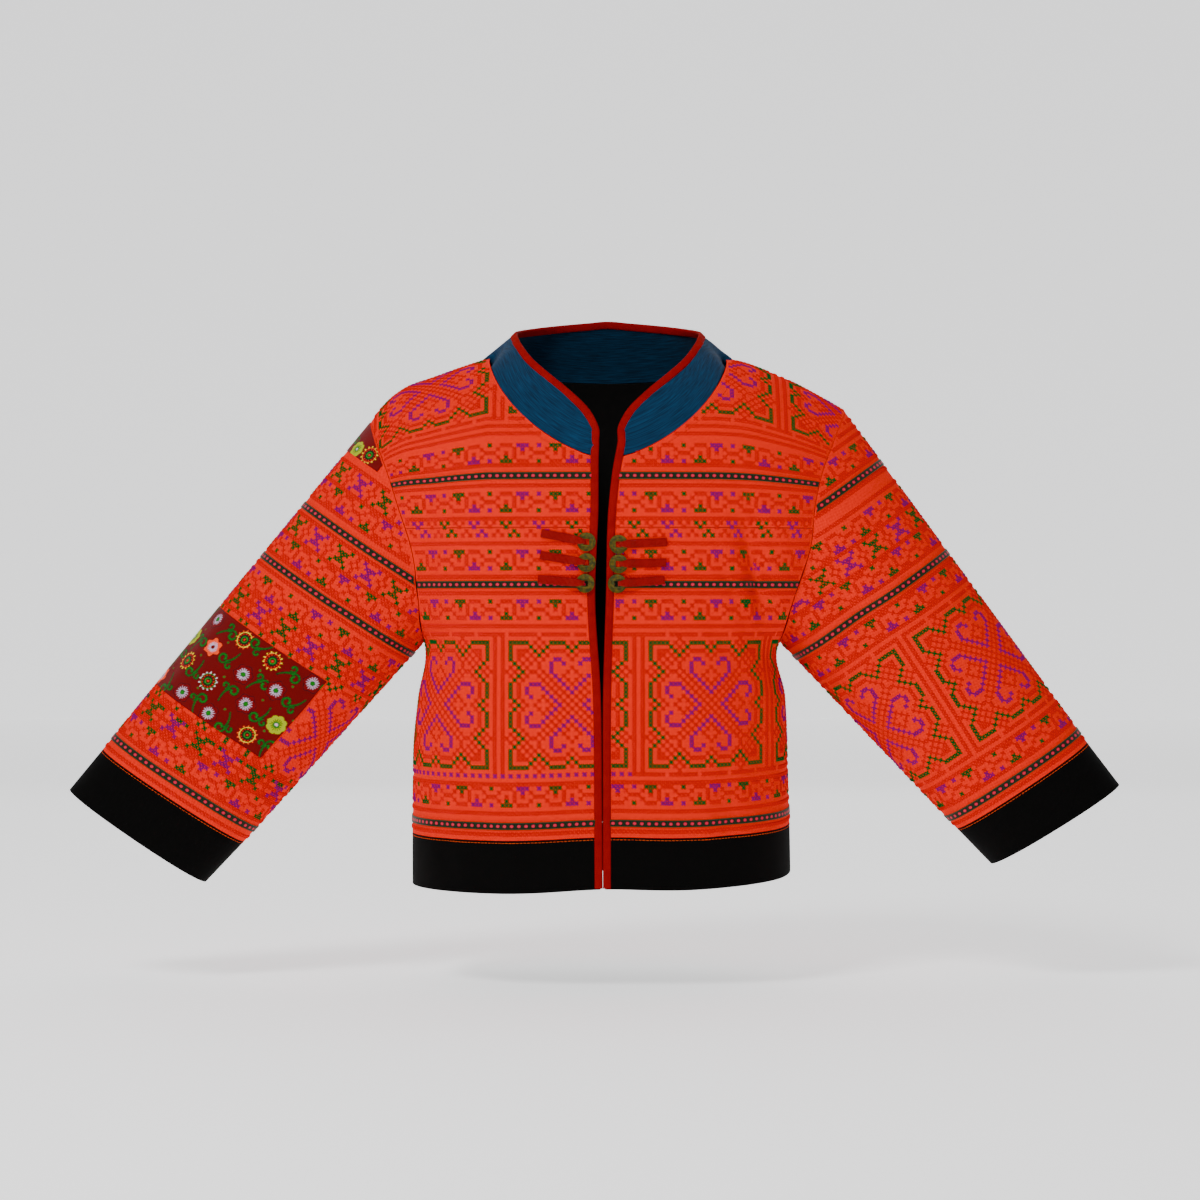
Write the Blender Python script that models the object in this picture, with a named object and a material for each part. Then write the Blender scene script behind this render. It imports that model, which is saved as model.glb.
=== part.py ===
"""Cross-stitched jacket with a stand collar, three-quarter sleeves and coin fasteners.

Every cut and sewn piece is one closed solid.  The cloth keeps the rounded, hollow form of a
garment that is filled out: open at the neck, front, hem and cuffs.  X runs from the wearer's
right (-X) to the wearer's left (+X), the front faces -Y and Z is up.  The origin is the middle
of the neck opening, level with the neck points, where a wearer's shoulders hold the jacket.
Sizes below are in millimetres.
"""
import math
from functools import partial

import bmesh
import bpy
import numpy as np
from mathutils import Vector

MM = 0.001
COLLECTION = "hmong_embroidered_jacket"
RIGHT, LEFT = -1, 1

# Cloth and seams
WALL = 1.6
LINING_WALL = 1.0
LINING_GAP = 4.2
TRIM_WALL = 0.8
SEAM_GAP = 0.34
ARMHOLE_GAP = 0.9
LAID_ON = 1.4

# Levels of the body
NECK_Z = -1.0
YOKE_SEAM_Z = -172.0
ARMPIT_Z = -283.0
HEM_SEAM_Z = -474.0
HEM_Z = -525.0

# Body depth and the roundness of its level sections
FRONT_DEPTH = 118.0
BACK_DEPTH = 112.0
SECTION_POWER = 0.8
SHOULDER_ROUND = 170.0
SHOULDER_POWER = 2.2

# Neck opening
NECK_X = 6.0
NECK_HALF = 118.0
NECK_FRONT_DROP = 104.0
NECK_FRONT_POWER = 1.6
NECK_BACK_DROP = 16.0
NECK_BACK_DOME = 45.0

# Half width of the body: level, wearer's right, wearer's left
BODY_HALF = (
    (-530.0, 189.0, 188.0),
    (-474.0, 189.0, 187.0),
    (-430.0, 188.0, 185.0),
    (-382.0, 187.0, 184.0),
    (-342.0, 183.0, 182.0),
    (-283.0, 177.0, 177.0),
    (-250.0, 194.0, 205.0),
    (-190.0, 212.0, 232.0),
    (-50.0, 256.0, 276.0),
    (0.0, 266.0, 286.0),
)
# Armhole seam, distance from the centre line: level, wearer's right, wearer's left
ARMHOLE = (
    (-283.0, 177.0, 177.0),
    (-260.0, 179.0, 182.0),
    (-233.0, 181.0, 190.0),
    (-190.0, 187.0, 204.0),
    (-150.0, 200.0, 208.0),
    (-122.0, 209.0, 214.0),
    (-90.0, 221.0, 226.0),
    (-63.0, 230.0, 238.0),
    (-54.0, 233.0, 243.0),
)
# Shoulder ridge height: distance from the centre line, wearer's right, wearer's left
RIDGE = (
    (112.0, -1.0, -1.0),
    (137.0, -9.0, -4.0),
    (168.0, -20.0, -15.0),
    (197.0, -31.0, -28.0),
    (212.0, -42.0, -36.0),
    (230.0, -63.0, -46.0),
    (243.0, -84.0, -54.0),
    (262.0, -110.0, -72.0),
)
# Front edges, X position: level, wearer's right front, wearer's left front
FRONT_EDGE = (
    (-530.0, 0.0, 1.4),
    (-440.0, -0.6, 1.4),
    (-331.0, -2.0, 1.6),
    (-242.0, -7.2, 4.2),
    (-146.0, -4.0, 7.4),
    (-118.0, -4.0, 10.5),
    (-90.0, -4.0, 15.5),
)
# How far the lower edge hangs above its level: distance round from the centre front, lift
HEM_LIFT = (
    (-180.0, 3.0),
    (-90.0, 2.0),
    (-40.0, -1.0),
    (0.0, 4.0),
    (40.0, 3.0),
    (70.0, 9.0),
    (90.0, 15.0),
    (130.0, 8.0),
    (180.0, 3.0),
)
# Largest folds as troughs pressed into the cloth: panel side, head X, head Z, foot X, foot Z, width, depth
FOLDS = (
    ("front", -164.0, -92.0, -176.0, -270.0, 17.0, 7.0),
    ("front", 131.0, -150.0, 166.0, -262.0, 13.0, 9.0),
    ("front", 152.0, -215.0, 171.0, -275.0, 10.0, 3.0),
    ("front", 150.0, -330.0, 158.0, -460.0, 16.0, 5.0),
    ("front", -128.0, -395.0, -120.0, -474.0, 20.0, 4.0),
    ("back", -140.0, -120.0, -156.0, -268.0, 20.0, 5.0),
    ("back", 138.0, -130.0, 156.0, -265.0, 20.0, 5.0),
    ("back", -70.0, -250.0, -84.0, -470.0, 22.0, 5.0),
    ("back", 64.0, -270.0, 82.0, -470.0, 24.0, 5.0),
)

# Sleeves: crossing rings from the sleeve-hem seam and the lower edge of the black cuff band
SLEEVES = {
    RIGHT: {"seam_out": (-496.0, -390.0), "seam_in": (-356.0, -482.0),
            "edge_out": (-529.0, -430.0), "edge_in": (-394.0, -522.0), "forward": -16.0},
    LEFT: {"seam_out": (482.0, -383.0), "seam_in": (353.0, -469.0),
           "edge_out": (514.0, -425.0), "edge_in": (387.0, -504.0), "forward": -16.0},
}
CUFF_DEPTH = 44.0
SLEEVE_POWER = 0.9

# Collar: share of the way from centre front to centre back, base out, base Z, top out, top Y, top Z
COLLAR = (
    (0.000, 10.0, -103.5, 9.5, -109.0, -90.0),
    (0.050, 24.0, -99.5, 10.5, -105.0, -73.0),
    (0.105, 40.0, -92.5, 19.0, -98.0, -57.0),
    (0.215, 72.0, -72.0, 46.0, -82.0, -31.0),
    (0.325, 97.0, -46.5, 71.0, -58.0, -9.0),
    (0.470, 117.7, -2.5, 91.0, -8.0, 21.0),
    (0.640, 101.0, -9.3, 83.0, 42.0, 31.0),
    (0.810, 60.0, -14.8, 50.0, 73.0, 38.0),
    (1.000, 0.0, -17.0, 0.0, 82.0, 43.0),
)
COLLAR_START = 0.03
COLLAR_CLEAR = 1.6
BINDING_WIDTH = 5.8
BINDING_PROUD = 0.5
BINDING_STEP = 6.2

# Trim ribbons: levels on the body, and heights above the cuff seam on each sleeve
RIBBON_WIDTH = 7.0
RIBBON_LEVELS = (-460.0, -227.0, -122.0)
SLEEVE_RIBBONS = {RIGHT: (17.0, 250.0, 314.0), LEFT: (14.0, 234.0, 345.0)}

# Printed patches on the wearer's right sleeve: heights above the cuff seam and turns round the arm
PATCH_LOW, PATCH_HIGH = 84.0, 183.0
PATCH_BACK, PATCH_FRONT = -55.0, 118.0
SHOULDER_PATCH_LOW = 383.0

# Fasteners: coin centres and strap tails as X and Z on the fronts
COIN_RADIUS = 9.1
COIN_HOLE = 5.6
COIN_THICK = 1.5
STRAP_WIDTH = 8.2
STRAP_WALL = 1.4
SEAT = {1: 1.0, 2: 1.0, 3: 2.6}
FASTENERS = (
    # side, row, coin X, coin Z, tail X, tail Z
    (RIGHT, 1, -15.2, -186.0, -58.5, -177.5),
    (RIGHT, 2, -15.2, -206.0, -59.5, -198.7),
    (RIGHT, 3, -16.4, -226.0, -61.5, -221.8),
    (LEFT, 1, 16.0, -188.4, 62.5, -186.2),
    (LEFT, 2, 16.0, -207.3, 61.5, -206.0),
    (LEFT, 3, 14.6, -226.3, 60.0, -222.8),
)

# Facets
LOWER_LEVELS = (HEM_SEAM_Z, RIBBON_LEVELS[0], -425.0, -385.0, -340.0, ARMPIT_Z)
YOKE_LEVELS = (-270.0, -250.0, RIBBON_LEVELS[1], -200.0, YOKE_SEAM_Z)
UPPER_LEVELS = (RIBBON_LEVELS[2], -103.0, -93.0, -77.0, -57.0, -36.0, -16.0, NECK_Z)
FRONT_COLUMNS = 10
BACK_COLUMNS = 16
SLEEVE_ROWS = 6
COLLAR_COLUMNS = 24


# ---------------------------------------------------------------- curves through the tables
def smooth(table, column, at):
    """Read one column of a table along its first column on a smooth cubic curve."""
    knots = np.array([row[0] for row in table], dtype=float)
    values = np.array([row[column] for row in table], dtype=float)
    slopes = np.gradient(values, knots)
    at = np.clip(np.asarray(at, dtype=float), knots[0], knots[-1])
    span = np.clip(np.searchsorted(knots, at, side="right") - 1, 0, len(knots) - 2)
    width = knots[span + 1] - knots[span]
    t = (at - knots[span]) / width
    return (values[span] * (2 * t ** 3 - 3 * t ** 2 + 1)
            + slopes[span] * width * (t ** 3 - 2 * t ** 2 + t)
            + values[span + 1] * (3 * t ** 2 - 2 * t ** 3)
            + slopes[span + 1] * width * (t ** 3 - t ** 2))


def side_column(side):
    """Table column of a side of the body."""
    return 1 if side == RIGHT else 2


def ridge(x):
    """Height of the shoulder ridge above a point of the body."""
    x = np.asarray(x, dtype=float)
    return np.where(x < 0, smooth(RIDGE, 1, abs(x)), smooth(RIDGE, 2, abs(x)))


def neck_share(x):
    """How far a point is across the neck opening, 0 at its middle and 1 at a neck point."""
    return np.clip(np.abs(np.asarray(x, dtype=float) - NECK_X) / NECK_HALF, 0.0, 1.0)


def back_top(x):
    """Upper edge of the back: the neckline, then the shoulder ridge."""
    share = neck_share(x)
    neckline = NECK_Z - NECK_BACK_DROP * np.sqrt(np.maximum(1 - share ** 2, 0.0))
    return np.where(share < 1, neckline, ridge(x))


def half_width(x, z):
    """Half width of the level section that a point belongs to."""
    x = np.asarray(x, dtype=float)
    return np.where(x < 0, smooth(BODY_HALF, 1, z), smooth(BODY_HALF, 2, z))


def fold_depth(face, x, z):
    """How deep the large folds press the cloth in at a point of the front or the back."""
    depth = np.zeros(np.broadcast(x, z).shape)
    for fold_face, head_x, head_z, foot_x, foot_z, width, deep in FOLDS:
        if fold_face != face:
            continue
        run_x, run_z = foot_x - head_x, foot_z - head_z
        length = math.hypot(run_x, run_z)
        along = ((x - head_x) * run_x + (z - head_z) * run_z) / length ** 2
        across = ((x - head_x) * run_z - (z - head_z) * run_x) / length
        ends = np.clip(1 - (2 * along - 1) ** 2, 0.0, 1.0)
        depth = depth + deep * ends * np.exp(-(across / width) ** 2)
    return depth


def body_depth(face, x, z):
    """Y of the outer cloth at a point of the front or the back."""
    x = np.asarray(x, dtype=float)
    z = np.asarray(z, dtype=float)
    full = FRONT_DEPTH if face == "front" else BACK_DEPTH
    power = 2.0 / SECTION_POWER
    top = ridge(x)
    if face == "back":
        top = top + NECK_BACK_DOME * (1 - neck_share(x) ** 2)
    across = np.clip(np.abs(x) / half_width(x, z), 0.0, 1.0)
    section = (1 - across ** power) ** (1 / power)
    up = 1 - np.clip((top - z) / SHOULDER_ROUND, 0.0, 1.0)
    shoulder = (1 - up ** SHOULDER_POWER) ** (1 / SHOULDER_POWER)
    depth = full * section * shoulder
    edge = np.clip(depth / 40.0, 0.0, 1.0)
    depth = depth - fold_depth(face, x, z) * edge
    return -depth if face == "front" else depth


def lifted(x, y, z):
    """Height of a point below the armpit once the hem hangs uneven."""
    turn = np.degrees(np.arctan2(x, -np.asarray(y, dtype=float)))
    share = np.clip((ARMPIT_Z - z) / (ARMPIT_Z - HEM_Z), 0.0, 1.0)
    return z + smooth(HEM_LIFT, 1, turn) * share


# ---------------------------------------------------------------- the body's rows
def row_height(level, x, top):
    """Height along a row that is level at the chest and follows the upper edge at the top."""
    rise = np.clip((level - YOKE_SEAM_Z) / (NECK_Z - YOKE_SEAM_Z), 0.0, 1.0)
    ease = rise * rise * (3 - 2 * rise)
    return level + (top - NECK_Z) * ease


def angle_of(x, z):
    """Section angle whose point lies at x."""
    share = np.clip(abs(x) / half_width(x, z), 0.0, 1.0)
    return math.copysign(math.asin(share ** (1 / SECTION_POWER)), x)


def x_at(angle, z):
    """X of a section angle at a level."""
    side = math.copysign(1.0, angle)
    return side * half_width(side, z) * abs(math.sin(abs(angle))) ** SECTION_POWER


def arm_x(side, level, face):
    """X where a row meets the armhole seam, or the side seam below the armpit."""
    if level <= ARMPIT_Z:
        return side * float(half_width(side, level))
    x = side * float(smooth(ARMHOLE, side_column(side), level))
    for _ in range(12):
        top = ridge(x) if face == "front" else back_top(x)
        height = float(row_height(level, x, top))
        x = side * float(smooth(ARMHOLE, side_column(side), height))
    return x


def inner_x(side, level):
    """X of a front's inner edge: the front edge, then the neckline."""
    edge = float(smooth(FRONT_EDGE, side_column(side), level))
    if level <= NECK_Z - NECK_FRONT_DROP:
        return edge
    drop = np.clip((NECK_Z - level) / NECK_FRONT_DROP, 0.0, 1.0)
    share = (1 - drop ** NECK_FRONT_POWER) ** (1 / NECK_FRONT_POWER)
    neck = NECK_X + side * NECK_HALF * share
    return min(edge, neck) if side == RIGHT else max(edge, neck)


def body_row(face, level, first_x, last_x, columns):
    """Points across one row, evenly turned round the section."""
    stops = [first_x, last_x]
    if face == "back" and columns > 1:
        stops = [first_x, NECK_X - NECK_HALF, NECK_X + NECK_HALF, last_x]
    angles = [angle_of(stop, level) for stop in stops]
    at = np.linspace(0.0, 1.0, columns + 1)
    parts = (0.0, 1.0) if len(stops) == 2 else (0.0, 0.25, 0.75, 1.0)
    points = []
    for share in at:
        x = x_at(np.interp(share, parts, angles), level)
        for stop, part in zip(stops, parts):
            x = stop if share == part else x
        top = ridge(x) if face == "front" else back_top(x)
        z = float(row_height(level, x, top))
        y = float(body_depth(face, x, z))
        if level <= ARMPIT_Z:
            if abs(x) >= float(half_width(x, level)) - 0.01:
                y = 0.0
            z = float(lifted(x, y, z))
        elif level == NECK_Z and (face == "front" or abs(x - NECK_X) >= NECK_HALF):
            y = 0.0
        points.append((x, y, z))
    return points


def front_grid(side, levels):
    """Outer points of a front between its inner edge and its side seam or armhole."""
    rows = [body_row("front", level, inner_x(side, level), arm_x(side, level, "front"), FRONT_COLUMNS)
            for level in levels]
    return np.array(rows)


def back_grid(levels):
    """Outer points of the back between its two side seams or armholes."""
    rows = [body_row("back", level, arm_x(RIGHT, level, "back"), arm_x(LEFT, level, "back"), BACK_COLUMNS)
            for level in levels]
    return np.array(rows)


def hem_ring(level):
    """Level ring round the whole body, from one front edge round the back to the other."""
    right = body_row("front", level, inner_x(RIGHT, level), arm_x(RIGHT, level, "front"), FRONT_COLUMNS)
    back = body_row("back", level, arm_x(RIGHT, level, "back"), arm_x(LEFT, level, "back"), BACK_COLUMNS)
    left = body_row("front", level, inner_x(LEFT, level), arm_x(LEFT, level, "front"), FRONT_COLUMNS)
    return right + back[1:-1] + left[::-1]


# ---------------------------------------------------------------- sleeves
def oval(turn, out_point, in_point, depth, forward):
    """Point of a sleeve ring: 0 degrees on the outer side, 90 in front, 180 underneath."""
    cosine, sine = math.cos(math.radians(turn)), math.sin(math.radians(turn))
    across = math.copysign(abs(cosine) ** SLEEVE_POWER, cosine)
    deep = math.copysign(abs(sine) ** SLEEVE_POWER, sine)
    x = (out_point[0] + in_point[0]) / 2 + (out_point[0] - in_point[0]) / 2 * across
    z = (out_point[1] + in_point[1]) / 2 + (out_point[1] - in_point[1]) / 2 * across
    return np.array((x, forward * 1.0 - depth * deep, z))


def armhole_levels():
    """Row levels on the armhole seam, from the armpit to the shoulder."""
    return (ARMPIT_Z,) + YOKE_LEVELS + UPPER_LEVELS


def armhole_loop(side):
    """Armhole points in order of turn: top, down the front, armpit, up the back."""
    loop = []
    levels = armhole_levels()
    for level in reversed(levels):
        loop.append(body_row("front", level, inner_x(side, level), arm_x(side, level, "front"), 1)[-1])
    for level in levels[1:-1]:
        ends = body_row("back", level, arm_x(RIGHT, level, "back"), arm_x(LEFT, level, "back"), 1)
        loop.append(ends[0] if side == RIGHT else ends[-1])
    return np.array(loop)


def loop_turns(side):
    """Turn of each armhole point round the arm, from its height between top and armpit."""
    loop = armhole_loop(side)
    half = len(armhole_levels())
    high, low = loop[0][2], loop[half - 1][2]
    turns = []
    for index, point in enumerate(loop):
        share = np.clip((high - point[2]) / (high - low), 0.0, 1.0)
        turn = math.degrees(math.acos(1 - 2 * share))
        turns.append(turn if index < half else 360.0 - turn)
    return turns


def sleeve_point(side, turn, armhole_point, share):
    """Outer point of a sleeve: share 0 on the cuff seam and 1 on the armhole."""
    sizes = SLEEVES[side]
    foot = oval(turn, sizes["seam_out"], sizes["seam_in"], CUFF_DEPTH, sizes["forward"])
    bulge = math.sin(math.pi * share) * 5.0 * math.sin(math.radians(turn))
    point = foot + (armhole_point - foot) * share
    return point + np.array((0.0, -bulge, 0.0))


def sleeve_columns(side):
    """Turns and armhole points of the sleeve's rulings."""
    return list(zip(loop_turns(side), armhole_loop(side)))


def sleeve_grid(side):
    """Outer points of a sleeve, rows from the cuff seam to the armhole, columns round the arm."""
    columns = sleeve_columns(side)
    rows = []
    for share in np.linspace(0.0, 1.0, SLEEVE_ROWS + 1):
        rows.append([sleeve_point(side, turn, top, share) for turn, top in columns])
    return np.array(rows)


def cuff_grid(side):
    """Outer points of the black band below a sleeve."""
    sizes = SLEEVES[side]
    rows = []
    for share in (0.0, 0.5, 1.0):
        row = []
        for turn, _ in sleeve_columns(side):
            edge = oval(turn, sizes["edge_out"], sizes["edge_in"], CUFF_DEPTH, sizes["forward"])
            seam = oval(turn, sizes["seam_out"], sizes["seam_in"], CUFF_DEPTH, sizes["forward"])
            row.append(seam + (edge - seam) * share)
        rows.append(row)
    return np.array(rows)


# ---------------------------------------------------------------- collar
def neck_point(side, share):
    """Base point of the collar on the neckline."""
    out = float(smooth(COLLAR, 1, share))
    z = float(smooth(COLLAR, 2, share))
    x = NECK_X + side * out
    face = "front" if share < COLLAR[5][0] else "back"
    y = float(body_depth(face, x, z))
    if abs(share - COLLAR[5][0]) < 1e-6:
        y = 0.0
    return np.array((x, y, z))


def collar_top(side, share):
    """Upper edge of the collar above a base point."""
    out = float(smooth(COLLAR, 3, share))
    return np.array((NECK_X + side * out, float(smooth(COLLAR, 4, share)), float(smooth(COLLAR, 5, share))))


def collar_stations():
    """Side and share of every station round the collar."""
    half = COLLAR_COLUMNS // 2
    even = np.linspace(COLLAR_START, 1.0, half + 1)
    shares = sorted(set(np.round(even, 4)) | {COLLAR[1][0], COLLAR[5][0]})
    right = [(RIGHT, share) for share in shares]
    left = [(LEFT, share) for share in reversed(shares[:-1])]
    return right + left


def square_to(path, lean):
    """Unit directions beside a path, from directions that only roughly point that way."""
    tangent = np.gradient(path, axis=0)
    tangent /= np.linalg.norm(tangent, axis=1, keepdims=True)
    square = lean - np.sum(lean * tangent, axis=1, keepdims=True) * tangent
    return square / np.linalg.norm(square, axis=1, keepdims=True)


def collar_grid():
    """Outer points of the stand collar, rows from the neckline up to its binding."""
    base = np.array([neck_point(side, share) for side, share in collar_stations()])
    top = np.array([collar_top(side, share) for side, share in collar_stations()])
    away = (top - base) / np.linalg.norm(top - base, axis=1, keepdims=True)
    base = base + away * COLLAR_CLEAR
    top = top + square_to(top, base - top) * BINDING_STEP
    middle = (base + top) / 2
    out = middle - np.array((NECK_X, 0.0, -30.0))
    out[:, 2] = 0.0
    middle = middle + out / np.linalg.norm(out, axis=1, keepdims=True) * 2.0
    return np.array((base, middle, top))


# ---------------------------------------------------------------- solids
def normals(grid, closed=False):
    """Unit normals of a grid of points from its neighbours."""
    if closed:
        across = np.roll(grid, -1, axis=1) - np.roll(grid, 1, axis=1)
    else:
        across = np.gradient(grid, axis=1)
    along = np.gradient(grid, axis=0)
    normal = np.cross(across, along)
    size = np.linalg.norm(normal, axis=2, keepdims=True)
    return normal / np.maximum(size, 1e-9)


def facing(grid, normal, centre):
    """Turn the normals so that they point away from a centre line."""
    outward = grid - centre
    if np.sum(outward * normal) < 0:
        return -normal
    return normal


def shrink(grid, bottom=0.0, top=0.0, first=0.0, last=0.0):
    """Draw the edges of a grid in along its own rows and columns."""
    moved = grid.copy()
    for edge, inner, amount in ((0, 1, bottom), (-1, -2, top)):
        if amount:
            step = grid[inner] - grid[edge]
            moved[edge] += step / np.linalg.norm(step, axis=1, keepdims=True) * amount
    for edge, inner, amount in ((0, 1, first), (-1, -2, last)):
        if amount:
            step = grid[:, inner] - grid[:, edge]
            moved[:, edge] += step / np.linalg.norm(step, axis=1, keepdims=True) * amount
    return moved


def sheet(name, outer, inner, colour, finish, closed=False):
    """One closed solid between an outer and an inner grid of points."""
    rows, columns = outer.shape[:2]
    mesh = bpy.data.meshes.new(name)
    shell = bmesh.new()
    outside = [[shell.verts.new(outer[i, j] * MM) for j in range(columns)] for i in range(rows)]
    inside = [[shell.verts.new(inner[i, j] * MM) for j in range(columns)] for i in range(rows)]
    spans = columns if closed else columns - 1
    for i in range(rows - 1):
        for j in range(spans):
            k = (j + 1) % columns
            shell.faces.new((outside[i][j], outside[i][k], outside[i + 1][k], outside[i + 1][j]))
            shell.faces.new((inside[i][j], inside[i + 1][j], inside[i + 1][k], inside[i][k]))
    for j in range(spans):
        k = (j + 1) % columns
        shell.faces.new((outside[0][k], outside[0][j], inside[0][j], inside[0][k]))
        shell.faces.new((outside[-1][j], outside[-1][k], inside[-1][k], inside[-1][j]))
    if not closed:
        for i in range(rows - 1):
            shell.faces.new((outside[i][0], outside[i + 1][0], inside[i + 1][0], inside[i][0]))
            shell.faces.new((outside[i + 1][-1], outside[i][-1], inside[i][-1], inside[i + 1][-1]))
    bmesh.ops.recalc_face_normals(shell, faces=shell.faces)
    if shell.calc_volume(signed=True) < 0:
        bmesh.ops.reverse_faces(shell, faces=shell.faces)
    shell.to_mesh(mesh)
    shell.free()
    return place(name, mesh, colour, finish)


def place(name, mesh, colour, finish):
    """Put a mesh into the jacket's collection with its own material."""
    for polygon in mesh.polygons:
        polygon.use_smooth = True
    mesh.set_sharp_from_angle(angle=math.radians(40))
    obj = bpy.data.objects.new(name, mesh)
    bpy.data.collections[COLLECTION].objects.link(obj)
    material = bpy.data.materials.new(name)
    material.use_nodes = True
    shader = material.node_tree.nodes["Principled BSDF"]
    shader.inputs["Base Color"].default_value = colour + (1.0,)
    shader.inputs["Roughness"].default_value = finish[0]
    shader.inputs["Metallic"].default_value = finish[1]
    mesh.materials.append(material)
    return obj


ORANGE = (0.90, 0.07, 0.01)
BLACK = (0.004, 0.004, 0.004)
INDIGO = (0.01, 0.06, 0.14)
RED = (0.45, 0.003, 0.003)
DARK_RED = (0.27, 0.002, 0.003)
MAROON = (0.20, 0.002, 0.004)
PINK = (0.50, 0.02, 0.10)
BRASS = (0.16, 0.13, 0.04)
CLOTH = (0.85, 0.0)
METAL = (0.45, 1.0)
BODY_AXIS = np.array((0.0, 0.0, -250.0))


def armhole_inward(side):
    """Direction of the wall's thickness at the armhole seam, shared by body and sleeve."""
    loop = armhole_loop(side)
    sleeve = sleeve_grid(side)
    sleeve_normal = facing(sleeve, normals(sleeve, closed=True), sleeve.mean(axis=(1), keepdims=True))[-1]
    body_normal = loop * np.array((0.15, 1.0, 0.0))
    half = len(armhole_levels())
    for index, point in enumerate(loop):
        lift = np.clip((point[2] + 150.0) / 90.0, 0.0, 1.0)
        sign = -1.0 if index < half else 1.0
        body_normal[index] = (side * 0.25, sign * (1.0 - 0.9 * lift), lift)
        if index in (0, half - 1):
            body_normal[index] = (side * 0.3, 0.0, 1.0) if index == 0 else (side, 0.0, 0.0)
    body_normal /= np.linalg.norm(body_normal, axis=1, keepdims=True)
    mixed = sleeve_normal + body_normal
    return -mixed / np.linalg.norm(mixed, axis=1, keepdims=True)


def wall(grid, closed, centre, thick, edges=None):
    """Inner points of a wall; edges gives shared directions on creased seams."""
    normal = facing(grid, normals(grid, closed), centre)
    direction = -normal
    for key, value in (edges or {}).items():
        direction[key] = value
    return grid + direction * thick


def body_panels():
    """Fronts in two lengths each, and the back in one."""
    levels = armhole_levels()
    yoke_at = len(YOKE_LEVELS)
    all_levels = LOWER_LEVELS + levels[1:]
    seam_row = len(LOWER_LEVELS) - 1 + yoke_at
    half = SEAM_GAP / 2
    panels = {}
    for side, word in ((RIGHT, "right"), (LEFT, "left")):
        grid = front_grid(side, all_levels)
        inward = armhole_inward(side)[:len(levels)][::-1]
        direction = -facing(grid, normals(grid), BODY_AXIS)
        direction[len(LOWER_LEVELS) - 1:, -1] = inward
        direction[:len(LOWER_LEVELS) - 1, -1] = (-side, 0.0, 0.0)
        direction[-1, :-1] = (0.0, 0.0, -1.0)
        inner = grid + direction * WALL
        lower, upper = slice(0, seam_row + 1), slice(seam_row, None)
        for part, rows, bottom, top in (("lower", lower, half, half), ("upper", upper, half, half)):
            outer_part = shrink(grid[rows], bottom, top, BINDING_STEP, half)
            shift = outer_part - grid[rows]
            sheet(f"front_{word}_{part}", outer_part, inner[rows] + shift, ORANGE, CLOTH)
        panels[word] = (grid, direction)
    grid = back_grid(all_levels)
    direction = -facing(grid, normals(grid), BODY_AXIS)
    count = len(levels)
    for column, side in ((0, RIGHT), (-1, LEFT)):
        inward = armhole_inward(side)
        rising = np.vstack((inward[count - 1:], inward[:1]))
        direction[len(LOWER_LEVELS) - 1:, column] = rising
        direction[:len(LOWER_LEVELS) - 1, column] = (-side, 0.0, 0.0)
    on_ridge = np.abs(grid[-1, :, 0] - NECK_X) >= NECK_HALF
    direction[-1, on_ridge] = (0.0, 0.0, -1.0)
    outer = shrink(grid, half, half, half, half)
    sheet("back", outer, outer + direction * WALL, ORANGE, CLOTH)
    lining_outer = (shrink(grid, 1.0, 1.0, 2.5, 2.5) + direction * (WALL + LINING_GAP))[:, ::2]
    sheet("back_lining", lining_outer, lining_outer + direction[:, ::2] * LINING_WALL, BLACK, CLOTH)
    panels["back"] = (grid, direction)
    return panels


def hem_bands():
    """Black band round the lower edge in three lengths: two fronts and the back."""
    rings = np.array([hem_ring(level) for level in (HEM_Z, (HEM_Z + HEM_SEAM_Z) / 2, HEM_SEAM_Z)])
    direction = -facing(rings, normals(rings), BODY_AXIS)
    for corner in (FRONT_COLUMNS, FRONT_COLUMNS + BACK_COLUMNS):
        side = RIGHT if corner == FRONT_COLUMNS else LEFT
        direction[:, corner] = (-side, 0.0, 0.0)
    half = SEAM_GAP / 2
    spans = (
        ("hem_band_right", slice(0, FRONT_COLUMNS + 1), BINDING_STEP, half),
        ("hem_band_back", slice(FRONT_COLUMNS, FRONT_COLUMNS + BACK_COLUMNS + 1), half, half),
        ("hem_band_left", slice(FRONT_COLUMNS + BACK_COLUMNS, None), half, BINDING_STEP),
    )
    for name, span, first, last in spans:
        outer = shrink(rings[:, span], 0.0, half, first, last)
        sheet(name, outer, outer + direction[:, span] * WALL, BLACK, CLOTH)


def sleeves():
    """Both sleeves and their black cuff bands."""
    for side, word in ((RIGHT, "right"), (LEFT, "left")):
        grid = sleeve_grid(side)
        centre = grid.mean(axis=1, keepdims=True)
        inner = wall(grid, True, centre, WALL, {-1: armhole_inward(side)})
        outer = shrink(grid, SEAM_GAP / 2, ARMHOLE_GAP)
        sheet(f"sleeve_{word}", outer, inner + (outer - grid), ORANGE, CLOTH, closed=True)
        band = cuff_grid(side)
        seam_direction = (inner[0] - grid[0]) / WALL
        band_inner = wall(band, True, band.mean(axis=1, keepdims=True), WALL, {0: seam_direction})
        band_outer = shrink(band, SEAM_GAP / 2, 0.0)
        sheet(f"cuff_{word}", band_outer, band_inner + (band_outer - band), BLACK, CLOTH, closed=True)


def collar():
    """Indigo stand collar round the neck."""
    grid = collar_grid()
    centre = np.array((NECK_X, -10.0, -300.0))
    inner = wall(grid, False, centre, WALL)
    sheet("collar", grid, inner, INDIGO, CLOTH)
    return grid


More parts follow.
